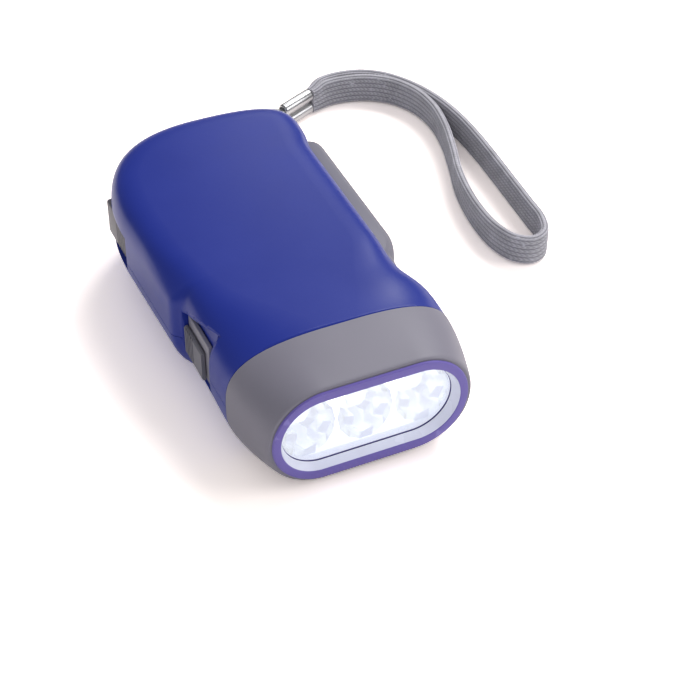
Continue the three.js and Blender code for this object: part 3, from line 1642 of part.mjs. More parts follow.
const torch = new THREE.Group();
torch.add(
  piece('top_shell', topShellSolid(), blue),
  piece('bottom_shell', bottomShellSolid(), blue),
  piece('bezel', bezelSolid(), grey),
  piece('lens_ring', lensRingSolid(), material(plate.rim, 0.35)),
  piece('lens', lensSolid(), material('#f2f6ff', 0.05)),
  piece('reflector', reflectorSolid(), material(metal.chrome, 0.1, 1)),
  piece('lamp_left', lampSolid(-1), material('#ffffff', 0.1)),
  piece('lamp_middle', lampSolid(0), material('#ffffff', 0.1)),
  piece('lamp_right', lampSolid(1), material('#ffffff', 0.1)),
  piece('lamp_board', lampBoardSolid(), material('#2f6b3c', 0.6)),
  piece('squeeze_lever', leverSolid(), grey),
  piece('lever_pin', leverPinSolid(), steel),
  piece('lever_spring', returnSpringSolid(), steel),
  piece('first_gear', firstGearSolid(), material('#e8e4d8', 0.5)),
  piece('first_axle', axleSolid(firstCentre, gearPlateZ + gearPlateThickness), steel),
  piece('second_gear', secondGearSolid(), material('#e8e4d8', 0.5)),
  piece('second_axle', axleSolid(secondCentre, gearPlateZ + gearPlateThickness), steel),
  piece('flywheel', flywheelSolid(), material('#3a3a3e', 0.5)),
  piece('rotor_magnet', magnetSolid(), material('#4a4a4c', 0.4, 1)),
  piece('rotor_axle', axleSolid(rotorCentre, ceilingZ - lightGap), steel),
  piece('cell_contact', cellContactSolid(), material(metal.brass, 0.4, 1)),
  piece('gear_plate', gearPlateSolid(), material(metal.brass, 0.4, 1)),
  piece('stator_core', statorCoreSolid(), material('#8e9094', 0.4, 1)),
  piece('coil_bobbin', bobbinSolid(), material('#d8d2c0', 0.6)),
  piece('coil_winding', coilSolid(), material(metal.copper, 0.35, 1)),
  piece('cell_lower', cellSolid(0), steel),
  piece('cell_middle', cellSolid(1), steel),
  piece('cell_upper', cellSolid(2), steel),
  piece('circuit_board', circuitBoardSolid(), material('#2f6b3c', 0.6)),
  piece('choke', chokeSolid(), material('#2a2a2c', 0.6)),
  piece('switch_plate', switchPlateSolid(), darkGrey),
  piece('switch_knob', knobSolid(), darkGrey),
  piece('switch_block', switchBlockSolid(), material('#303034', 0.5)),
  piece('lock_slider', lockSliderSolid(), grey),
  piece('lock_bar', lockBarSolid(), grey),
  piece('lug_pin', lugPinSolid(), steel),
  piece('strap_loop_cord', loopCordSolid(), material('#9a9aa2', 0.8)),
  piece('strap_crimp', crimpSolid(), material(metal.chrome, 0.2, 1)),
  piece('wrist_strap', strapSolid(), material('#7c7c86', 0.9)),
);
screwPlaces.forEach((centre, i) => torch.add(piece(`screw_${i + 1}`, screwSolid(centre), steel)));

export default torch;
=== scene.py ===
"""Looks of a squeeze-lever dynamo torch with a wrist strap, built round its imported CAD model."""

import logging
import math
from dataclasses import dataclass, field
from enum import Enum
from typing import Callable, Iterable, Sequence

import bmesh
import bpy
import numpy as np
from mathutils import Matrix, Vector


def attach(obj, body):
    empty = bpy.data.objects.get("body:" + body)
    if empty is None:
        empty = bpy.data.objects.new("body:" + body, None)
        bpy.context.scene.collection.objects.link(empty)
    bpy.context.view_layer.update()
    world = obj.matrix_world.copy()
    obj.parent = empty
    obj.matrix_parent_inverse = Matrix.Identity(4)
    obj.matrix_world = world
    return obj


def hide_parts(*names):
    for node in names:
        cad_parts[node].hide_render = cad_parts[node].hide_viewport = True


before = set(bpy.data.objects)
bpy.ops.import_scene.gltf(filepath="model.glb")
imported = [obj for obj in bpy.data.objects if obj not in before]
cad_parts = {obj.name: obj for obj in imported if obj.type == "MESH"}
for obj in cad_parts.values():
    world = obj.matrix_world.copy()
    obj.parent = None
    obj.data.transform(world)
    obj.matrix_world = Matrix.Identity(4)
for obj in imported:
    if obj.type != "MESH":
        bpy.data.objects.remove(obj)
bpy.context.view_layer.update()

LOG = logging.getLogger("torch")
MM = 0.001
Point = tuple[float, float, float]
Ring = np.ndarray


class Body(Enum):
    """Moving bodies of the torch that the pieces ride on."""

    HOUSING = "housing"
    LEVER = "lever"
    SWITCH = "power_switch"
    LOCK = "lever_lock"


class Blue(Enum):
    """Which half of the blue housing."""

    TOP = 1
    BOTTOM = -1


# Mesh helpers


def make_object(name: str, points: Sequence, faces: Sequence[Sequence[int]]) -> bpy.types.Object:
    """Makes a mesh object from points in millimetres.

    Args:
        name: Name of the object and its mesh.
        points: Corners, in millimetres in the part's frame.
        faces: Corner numbers of each face.

    Returns:
        The linked object.
    """
    mesh = bpy.data.meshes.new(name)
    mesh.from_pydata([Vector(p) * MM for p in points], [], [list(f) for f in faces])
    mesh.update()
    obj = bpy.data.objects.new(name, mesh)
    bpy.context.scene.collection.objects.link(obj)
    tidy_mesh(obj)
    return obj


def tidy_mesh(obj: bpy.types.Object, weld: float = 1e-6) -> None:
    """Welds doubled corners and turns all faces outward.

    Args:
        obj: Mesh object to tidy.
        weld: Distance in metres under which corners are welded.
    """
    work = bmesh.new()
    work.from_mesh(obj.data)
    bmesh.ops.remove_doubles(work, verts=work.verts, dist=weld)
    bmesh.ops.dissolve_degenerate(work, edges=work.edges, dist=weld)
    bmesh.ops.recalc_face_normals(work, faces=work.faces)
    work.to_mesh(obj.data)
    work.free()


def loft(name: str, rings: Sequence[Ring], closed: bool = False) -> bpy.types.Object:
    """Skins a row of rings into a closed body.

    Args:
        name: Name of the object.
        rings: Rings of equally many corners, each an array of points in millimetres.
        closed: True where the last ring joins the first, False where the ends are capped.

    Returns:
        The new object.
    """
    count = len(rings[0])
    points = np.concatenate(rings)
    faces = []
    spans = len(rings) if closed else len(rings) - 1
    for ring in range(spans):
        here, there = ring * count, ((ring + 1) % len(rings)) * count
        for side in range(count):
            after = (side + 1) % count
            faces.append((here + side, here + after, there + after, there + side))
    if not closed:
        last = (len(rings) - 1) * count
        faces.append(tuple(range(count - 1, -1, -1)))
        faces.append(tuple(range(last, last + count)))
    return make_object(name, points, faces)


def block(name: str, low: Point, high: Point) -> bpy.types.Object:
    """Makes a box between two corners, in millimetres, to cut or join with.

    Args:
        name: Name of the box.
        low: Its lowest corner.
        high: Its highest corner.

    Returns:
        The box.
    """
    (x0, y0, z0), (x1, y1, z1) = low, high
    ring = [(x0, y0), (x1, y0), (x1, y1), (x0, y1)]
    return loft(name, [np.array([(x, y, z) for x, y in ring]) for z in (z0, z1)])


def post(name: str, centre: tuple[float, float], radius: float, z0: float, z1: float,
         sides: int = 48) -> bpy.types.Object:
    """Makes an upright round post, in millimetres, to cut or join with.

    Args:
        name: Name of the post.
        centre: Its axis, as x and y.
        radius: Its radius.
        z0: Height of its foot.
        z1: Height of its top.
        sides: Number of its sides.

    Returns:
        The post.
    """
    turns = np.linspace(0, 2 * math.pi, sides, endpoint=False)
    x = centre[0] + radius * np.cos(turns)
    y = centre[1] + radius * np.sin(turns)
    return loft(name, [np.column_stack([x, y, np.full(sides, z)]) for z in (z0, z1)])


def combine(obj: bpy.types.Object, other: bpy.types.Object, operation: str) -> bpy.types.Object:
    """Joins, cuts or trims a solid with another, which is then removed.

    Args:
        obj: Solid that is changed.
        other: Solid that it is combined with.
        operation: UNION, DIFFERENCE or INTERSECT.

    Returns:
        The changed solid.
    """
    step = obj.modifiers.new("combine", "BOOLEAN")
    step.operation = operation
    step.object = other
    step.solver = "MANIFOLD"
    bake_modifiers(obj)
    bpy.data.objects.remove(other, do_unlink=True)
    return obj


def bake_modifiers(obj: bpy.types.Object) -> None:
    """Applies every modifier of a mesh object to its mesh.

    Args:
        obj: Object whose modifiers are applied and removed.
    """
    bpy.context.view_layer.update()
    graph = bpy.context.evaluated_depsgraph_get()
    baked = bpy.data.meshes.new_from_object(obj.evaluated_get(graph))
    obj.modifiers.clear()
    old = obj.data
    obj.data = baked
    bpy.data.meshes.remove(old)


def copy_node(node: str, name: str) -> bpy.types.Object:
    """Copies a CAD node's solid to work on, welded, without touching the node.

    Args:
        node: Name of the CAD node.
        name: Name of the copy.

    Returns:
        The linked copy.
    """
    obj = bpy.data.objects.new(name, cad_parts[node].data.copy())
    bpy.context.scene.collection.objects.link(obj)
    tidy_mesh(obj, 1e-7)
    return obj


def shade(obj: bpy.types.Object, angle: float = 28) -> None:
    """Shades a mesh smooth, with creases where faces meet at more than the angle."""
    obj.data.polygons.foreach_set("use_smooth", [True] * len(obj.data.polygons))
    obj.data.set_sharp_from_angle(angle=math.radians(angle))


def soften(obj: bpy.types.Object, width: float, segments: int = 2, angle: float = 32) -> None:
    """Rounds the sharp edges of a piece with a bevel, width in millimetres.

    Args:
        obj: Piece that gets the bevel.
        width: Width of the rounding.
        segments: Steps across the rounding.
        angle: Least angle of a rounded edge, in degrees.
    """
    bevel = obj.modifiers.new("edge rounding", "BEVEL")
    bevel.width = width * MM
    bevel.segments = segments
    bevel.limit_method = "ANGLE"
    bevel.angle_limit = math.radians(angle)
    bevel.harden_normals = False


def smooth_share(value: float, start: float, end: float) -> float:
    """Share of the way from start to end, eased at both ends."""
    share = min(max((value - start) / (end - start), 0.0), 1.0)
    return share * share * (3 - 2 * share)


def paint(obj: bpy.types.Object, material: bpy.types.Material,
          chosen: Callable[[Vector, Vector], bool]) -> None:
    """Gives some faces of a dressed piece a second material.

    Args:
        obj: Piece that already has its main material.
        material: The second material.
        chosen: Tells from a face's middle, in millimetres, and its normal whether it takes it.
    """
    obj.data.materials.append(material)
    slot = len(obj.data.materials) - 1
    for face in obj.data.polygons:
        if chosen(face.center / MM, face.normal):
            face.material_index = slot


def dress(obj: bpy.types.Object, material: bpy.types.Material, body: Body,
          replaced: Iterable[str] = ()) -> bpy.types.Object:
    """Gives a new piece its material and its body, and hides the CAD nodes that it stands for.

    Args:
        obj: New piece.
        material: Its material.
        body: Body that it rides on.
        replaced: CAD nodes that it is shown for.

    Returns:
        The dressed piece.
    """
    obj.data.materials.clear()
    obj.data.materials.append(material)
    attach(obj, body.value)
    if replaced:
        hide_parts(*replaced)
    LOG.info("built %s", obj.name)
    return obj


# Finishes


def linear(rgb: Sequence[int]) -> tuple[float, float, float, float]:
    """Turns a colour of 0 to 255 on screen into linear light.

    Args:
        rgb: Red, green and blue on screen.

    Returns:
        The colour in linear light, with full opacity.
    """
    def channel(value: float) -> float:
        """One channel in linear light."""
        share = value / 255
        return share / 12.92 if share <= 0.04045 else ((share + 0.055) / 1.055) ** 2.4
    return (*(channel(v) for v in rgb), 1.0)


@dataclass
class GroupMaker:
    """Builds one shared node group with named inputs and outputs."""

    name: str
    inputs: dict[str, tuple[str, object]]
    outputs: dict[str, str]
    tree: bpy.types.NodeTree = field(init=False)

    def __post_init__(self) -> None:
        """Makes the empty group and its sockets."""
        self.tree = bpy.data.node_groups.new(self.name, "ShaderNodeTree")
        for label, (kind, value) in self.inputs.items():
            socket = self.tree.interface.new_socket(label, in_out="INPUT", socket_type=kind)
            if value is not None:
                socket.default_value = value
        for label, kind in self.outputs.items():
            self.tree.interface.new_socket(label, in_out="OUTPUT", socket_type=kind)
        self.entry = self.tree.nodes.new("NodeGroupInput")
        self.exit = self.tree.nodes.new("NodeGroupOutput")

    def node(self, kind: str, **settings: object) -> bpy.types.Node:
        """Adds a node with settings, or with values on sockets named in_ plus a number."""
        return add_node(self.tree, kind, **settings)

    def link(self, source: bpy.types.NodeSocket, target: bpy.types.NodeSocket) -> None:
        """Joins two sockets."""
        self.tree.links.new(source, target)


def add_node(tree: bpy.types.NodeTree, kind: str, **settings: object) -> bpy.types.Node:
    """Adds a node to a tree.

    Args:
        tree: Tree that takes the node.
        kind: Type name of the node.
        settings: Properties of the node, or in_N for the value of its input number N.

    Returns:
        The node.
    """
    node = tree.nodes.new(kind)
    for key, value in settings.items():
        if key.startswith("in_"):
            node.inputs[int(key[3:])].default_value = value
        else:
            setattr(node, key, value)
    return node


def moulded_group() -> bpy.types.NodeTree:
    """Fine spark-eroded grain of moulded plastic, with faint mottling and rubbed edges.

    Returns:
        A group that puts out colour, roughness and bump height.
    """
    maker = GroupMaker(
        "moulded grain",
        {
            "Colour": ("NodeSocketColor", (0.5, 0.5, 0.5, 1)),
            "Rubbed": ("NodeSocketColor", (0.6, 0.6, 0.6, 1)),
            "Roughness": ("NodeSocketFloat", 0.45),
            "Grain": ("NodeSocketFloat", 4200.0),
            "Mottle": ("NodeSocketFloat", 0.06),
        },
        {"Colour": "NodeSocketColor", "Roughness": "NodeSocketFloat", "Height": "NodeSocketFloat"},
    )
    place = maker.node("ShaderNodeTexCoord")
    grain = maker.node("ShaderNodeTexNoise", in_3=3.0)
    maker.link(place.outputs["Object"], grain.inputs["Vector"])
    maker.link(maker.entry.outputs["Grain"], grain.inputs["Scale"])
    cloud = maker.node("ShaderNodeTexNoise", in_2=55.0, in_3=4.0)
    maker.link(place.outputs["Object"], cloud.inputs["Vector"])
    spread = maker.node("ShaderNodeMapRange", in_1=0.3, in_2=0.7, in_3=-1.0, in_4=1.0)
    maker.link(cloud.outputs["Fac"], spread.inputs["Value"])
    swing = maker.node("ShaderNodeMath", operation="MULTIPLY")
    maker.link(spread.outputs["Result"], swing.inputs[0])
    maker.link(maker.entry.outputs["Mottle"], swing.inputs[1])
    lift = maker.node("ShaderNodeMath", operation="ADD", in_1=1.0)
    maker.link(swing.outputs[0], lift.inputs[0])
    tone = maker.node("ShaderNodeVectorMath", operation="SCALE")
    maker.link(maker.entry.outputs["Colour"], tone.inputs[0])
    maker.link(lift.outputs[0], tone.inputs["Scale"])
    edge = maker.node("ShaderNodeNewGeometry")
    worn = maker.node("ShaderNodeMapRange", in_1=0.53, in_2=0.62, in_3=0.0, in_4=0.5)
    maker.link(edge.outputs["Pointiness"], worn.inputs["Value"])
    mix = maker.node("ShaderNodeMix", data_type="RGBA")
    maker.link(worn.outputs["Result"], mix.inputs["Factor"])
    maker.link(tone.outputs[0], mix.inputs["A"])
    maker.link(maker.entry.outputs["Rubbed"], mix.inputs["B"])
    maker.link(mix.outputs["Result"], maker.exit.inputs["Colour"])
    haze = maker.node("ShaderNodeMath", operation="MULTIPLY_ADD", in_1=0.12)
    maker.link(cloud.outputs["Fac"], haze.inputs[0])
    maker.link(maker.entry.outputs["Roughness"], haze.inputs[2])
    maker.link(haze.outputs[0], maker.exit.inputs["Roughness"])
    maker.link(grain.outputs["Fac"], maker.exit.inputs["Height"])
    return maker.tree


def brushed_group() -> bpy.types.NodeTree:
    """Scuffed metal: fine scratches, handling haze and slightly darker pits.

    Returns:
        A group that puts out colour, roughness and bump height.
    """
    maker = GroupMaker(
        "scuffed metal",
        {
            "Colour": ("NodeSocketColor", (0.7, 0.7, 0.7, 1)),
            "Roughness": ("NodeSocketFloat", 0.2),
            "Scuff": ("NodeSocketFloat", 900.0),
        },
        {"Colour": "NodeSocketColor", "Roughness": "NodeSocketFloat", "Height": "NodeSocketFloat"},
    )
    place = maker.node("ShaderNodeTexCoord")
    stretch = maker.node("ShaderNodeMapping", in_3=(1.0, 0.12, 1.0))
    maker.link(place.outputs["Object"], stretch.inputs["Vector"])
    scratch = maker.node("ShaderNodeTexNoise", in_3=6.0)
    maker.link(stretch.outputs[0], scratch.inputs["Vector"])
    maker.link(maker.entry.outputs["Scuff"], scratch.inputs["Scale"])
    haze = maker.node("ShaderNodeTexNoise", in_2=140.0, in_3=4.0)
    maker.link(place.outputs["Object"], haze.inputs["Vector"])
    dull = maker.node("ShaderNodeMath", operation="MULTIPLY_ADD", in_1=0.18)
    maker.link(haze.outputs["Fac"], dull.inputs[0])
    maker.link(maker.entry.outputs["Roughness"], dull.inputs[2])
    maker.link(dull.outputs[0], maker.exit.inputs["Roughness"])
    darken = maker.node("ShaderNodeMapRange", in_1=0.35, in_2=0.6, in_3=0.86, in_4=1.04)
    maker.link(haze.outputs["Fac"], darken.inputs["Value"])
    tone = maker.node("ShaderNodeVectorMath", operation="SCALE")
    maker.link(maker.entry.outputs["Colour"], tone.inputs[0])
    maker.link(darken.outputs["Result"], tone.inputs["Scale"])
    maker.link(tone.outputs[0], maker.exit.inputs["Colour"])
    maker.link(scratch.outputs["Fac"], maker.exit.inputs["Height"])
    return maker.tree


def yarn_group() -> bpy.types.NodeTree:
    """Fibres of twisted yarn: fine streaks, lighter and darker patches, and painted shade in the hollows.

    Returns:
        A group that puts out colour, roughness and bump height.
    """
    maker = GroupMaker(
        "yarn",
        {
            "Colour": ("NodeSocketColor", (0.3, 0.3, 0.3, 1)),
            "Hollow": ("NodeSocketColor", (0.1, 0.1, 0.1, 1)),
            "Fibre": ("NodeSocketFloat", 5200.0),
        },
        {"Colour": "NodeSocketColor", "Roughness": "NodeSocketFloat", "Height": "NodeSocketFloat"},
    )
    place = maker.node("ShaderNodeTexCoord")
    fibre = maker.node("ShaderNodeTexNoise", in_3=5.0)
    maker.link(place.outputs["Object"], fibre.inputs["Vector"])
    maker.link(maker.entry.outputs["Fibre"], fibre.inputs["Scale"])
    shade_noise = maker.node("ShaderNodeTexNoise", in_2=260.0, in_3=3.0)
    maker.link(place.outputs["Object"], shade_noise.inputs["Vector"])
    # painted shade: the Hollow colour goes where Pointiness is low, in the grooves between the ribs
    edge = maker.node("ShaderNodeNewGeometry")
    deep = maker.node("ShaderNodeMapRange", in_1=0.44, in_2=0.53, in_3=1.0, in_4=0.0)
    maker.link(edge.outputs["Pointiness"], deep.inputs["Value"])
    mix = maker.node("ShaderNodeMix", data_type="RGBA")
    maker.link(deep.outputs["Result"], mix.inputs["Factor"])
    maker.link(maker.entry.outputs["Colour"], mix.inputs["A"])
    maker.link(maker.entry.outputs["Hollow"], mix.inputs["B"])
    both = maker.node("ShaderNodeMath", operation="ADD")
    maker.link(fibre.outputs["Fac"], both.inputs[0])
    maker.link(shade_noise.outputs["Fac"], both.inputs[1])
    vary = maker.node("ShaderNodeMapRange", in_1=0.7, in_2=1.3, in_3=0.8, in_4=1.2)
    maker.link(both.outputs[0], vary.inputs["Value"])
    tone = maker.node("ShaderNodeVectorMath", operation="SCALE")
    maker.link(mix.outputs["Result"], tone.inputs[0])
    maker.link(vary.outputs["Result"], tone.inputs["Scale"])
    maker.link(tone.outputs[0], maker.exit.inputs["Colour"])
    rough = maker.node("ShaderNodeMapRange", in_3=0.72, in_4=0.95)
    maker.link(fibre.outputs["Fac"], rough.inputs["Value"])
    maker.link(rough.outputs["Result"], maker.exit.inputs["Roughness"])
    maker.link(fibre.outputs["Fac"], maker.exit.inputs["Height"])
    return maker.tree


class Effects:
    """The shared node groups, each built once."""

    def __init__(self) -> None:
        """Builds the groups."""
        self.moulded = moulded_group()
        self.brushed = brushed_group()
        self.yarn = yarn_group()


def start_material(name: str, group: bpy.types.NodeTree, bump: float,
                   depth: float) -> tuple[bpy.types.Material, bpy.types.Node, bpy.types.Node]:
    """Makes a material whose colour, roughness and normal come from a shared group.

    Args:
        name: Name of the material.
        group: Shared group with Colour, Roughness and Height outputs.
        bump: Strength of the bump.
        depth: Depth of the bump in millimetres.

    Returns:
        The material, its shader node and its group node.
    """
    material = bpy.data.materials.new(name)
    material.use_nodes = True
    tree = material.node_tree
    shader = tree.nodes["Principled BSDF"]
    effect = add_node(tree, "ShaderNodeGroup", node_tree=group)
    relief = add_node(tree, "ShaderNodeBump")
    relief.inputs["Strength"].default_value = bump
    relief.inputs["Distance"].default_value = depth * MM
    tree.links.new(effect.outputs["Colour"], shader.inputs["Base Color"])
    tree.links.new(effect.outputs["Roughness"], shader.inputs["Roughness"])
    tree.links.new(effect.outputs["Height"], relief.inputs["Height"])
    tree.links.new(relief.outputs["Normal"], shader.inputs["Normal"])
    return material, shader, effect


@dataclass(frozen=True)
class MouldedPlastic:
    """Satin moulded plastic with spark-eroded grain."""

    name: str
    colour: tuple[int, int, int]
    rubbed: tuple[int, int, int]
    roughness: float = 0.38
    bump: float = 0.25
    depth: float = 0.03
    grain: float = 4200.0
    mottle: float = 0.04
    coat: float = 0.0
    specular: float = 0.5

    def build(self, effects: Effects) -> bpy.types.Material:
        """Makes the material.

        Args:
            effects: The shared node groups.

        Returns:
            The material.
        """
        material, shader, effect = start_material(self.name, effects.moulded, self.bump, self.depth)
        effect.inputs["Colour"].default_value = linear(self.colour)
        effect.inputs["Rubbed"].default_value = linear(self.rubbed)
        effect.inputs["Roughness"].default_value = self.roughness
        effect.inputs["Grain"].default_value = self.grain
        effect.inputs["Mottle"].default_value = self.mottle
        shader.inputs["Coat Weight"].default_value = self.coat
        shader.inputs["Coat Roughness"].default_value = 0.3
        shader.inputs["Specular IOR Level"].default_value = self.specular
        return material


@dataclass(frozen=True)
class ScuffedMetal:
    """Polished or turned metal with fine scuffs."""

    name: str
    colour: tuple[int, int, int]
    roughness: float = 0.12
    scuff: float = 900.0
    bump: float = 0.15

    def build(self, effects: Effects) -> bpy.types.Material:
        """Makes the material.

        Args:
            effects: The shared node groups.

        Returns:
            The material.
        """
        material, shader, effect = start_material(self.name, effects.brushed, self.bump, 0.02)
        effect.inputs["Colour"].default_value = linear(self.colour)
        effect.inputs["Roughness"].default_value = self.roughness
        effect.inputs["Scuff"].default_value = self.scuff
        shader.inputs["Metallic"].default_value = 1.0
        return material


@dataclass(frozen=True)
class WovenYarn:
    """Matt polyester yarn of the strap and its thin cord."""

    name: str
    colour: tuple[int, int, int]
    # colour of the painted shade in the hollows between the ribs
    hollow: tuple[int, int, int]
    fibre: float = 5200.0

    def build(self, effects: Effects) -> bpy.types.Material:
        """Makes the material.

        Args:
            effects: The shared node groups.

        Returns:
            The material.
        """
        material, shader, effect = start_material(self.name, effects.yarn, 0.5, 0.08)
        effect.inputs["Colour"].default_value = linear(self.colour)
        effect.inputs["Hollow"].default_value = linear(self.hollow)
        effect.inputs["Fibre"].default_value = self.fibre
        shader.inputs["Sheen Weight"].default_value = 0.25
        shader.inputs["Sheen Roughness"].default_value = 0.5
        return material


@dataclass(frozen=True)
class ClearLens:
    """Moulded clear plastic, slightly milky, with a painted glow: an emission that stands in for light from
    the bowl behind it.
    """

    name: str = "clear lens"
    tint: tuple[int, int, int] = (250, 252, 255)
    transmission: float = 0.87
    painted_glow: float = 0.265

    def build(self, effects: Effects) -> bpy.types.Material:
        """Makes the material.

        Args:
            effects: The shared node groups.

        Returns:
            The material.
        """
        material, shader, effect = start_material(self.name, effects.moulded, 0.08, 0.02)
        effect.inputs["Colour"].default_value = linear(self.tint)
        effect.inputs["Rubbed"].default_value = linear((240, 244, 252))
        effect.inputs["Roughness"].default_value = 0.02
        effect.inputs["Grain"].default_value = 700.0
        effect.inputs["Mottle"].default_value = 0.02
        shader.inputs["Transmission Weight"].default_value = self.transmission
        shader.inputs["IOR"].default_value = 1.49
        # painted light: the emission makes the lens glow, though it is no lamp
        shader.inputs["Emission Color"].default_value = linear((246, 250, 255))
        shader.inputs["Emission Strength"].default_value = self.painted_glow
        return material


class Finishes:
    """Every finish of the torch, built once."""

    def __init__(self) -> None:
        """Builds the shared effects and the materials."""
        effects = Effects()
        plastic, metal = MouldedPlastic, ScuffedMetal
        self.blue = plastic("blue housing", (32, 50, 148), (36, 54, 152), 0.28, specular=0.3).build(effects)
        self.grey = plastic("grey head", (130, 127, 141), (142, 140, 154), 0.44).build(effects)
        self.lever = plastic("grey lever", (124, 122, 135), (140, 138, 150), 0.44).build(effects)
        self.dark = plastic("dark grey switch", (104, 103, 113), (124, 123, 134), 0.42).build(effects)
        self.plate = plastic("dark switch plate", (138, 135, 148), (148, 146, 158), 0.42).build(effects)
        self.warm = plastic("grey lock", (116, 113, 120), (140, 137, 144), 0.42).build(effects)
        # painted shade for a pattern of facets on the bright bowls
        self.facet = plastic("shaded facet", (120, 128, 176), (128, 136, 184), 0.3).build(effects)
        # partly painted light: blue plastic, painted a lighter violet for the light of the lamps inside
        # falling on it
        self.rim = plastic("violet rim", (112, 98, 182), (150, 140, 214), 0.34).build(effects)
        # painted light: a pale, lit copy of the violet rim for the wall round the lens
        self.painted_light_rim_wall = plastic("pale violet rim wall", (232, 234, 252), (238, 240, 253), 0.2,
                                specular=0.7).build(effects)
        # painted shade: dark colour for the lens's edge in the shadow under the rim
        self.painted_lens_edge_shade = plastic("shaded lens edge", (84, 76, 158), (92, 84, 164), 0.4).build(effects)
        self.white = plastic("white nylon", (222, 220, 210), (236, 234, 226), 0.42).build(effects)
        self.black = plastic("black nylon", (34, 34, 38), (62, 62, 68), 0.4).build(effects)
        self.board = plastic("circuit board", (24, 92, 52), (40, 120, 70), 0.35).build(effects)
        self.wrap = plastic("cell sleeve", (60, 128, 92), (90, 158, 120), 0.35).build(effects)
        self.lamp = plastic("lamp lens", (232, 238, 250), (245, 248, 255), 0.08).build(effects)
        self.bowl = metal("bright bowl", (244, 247, 252), 0.06, bump=0.05).build(effects)
        self.chrome = metal("chrome crimp", (182, 182, 184), 0.2, bump=0.03).build(effects)
        self.steel = metal("steel", (188, 190, 196), 0.25).build(effects)
        self.brass = metal("brass", (196, 164, 92), 0.28).build(effects)
        self.copper = metal("copper wire", (178, 102, 58), 0.3, 2400.0).build(effects)
        self.magnet = metal("magnet", (74, 72, 74), 0.45).build(effects)
        # the second colour of the strap and of the cord is painted shade for their hollows
        self.strap = WovenYarn("grey strap", (192, 190, 199), (84, 83, 94)).build(effects)
        self.cord = WovenYarn("pale thin cord", (176, 178, 182), (110, 112, 118)).build(effects)
        self.lens = ClearLens().build(effects)


# Sub-assemblies


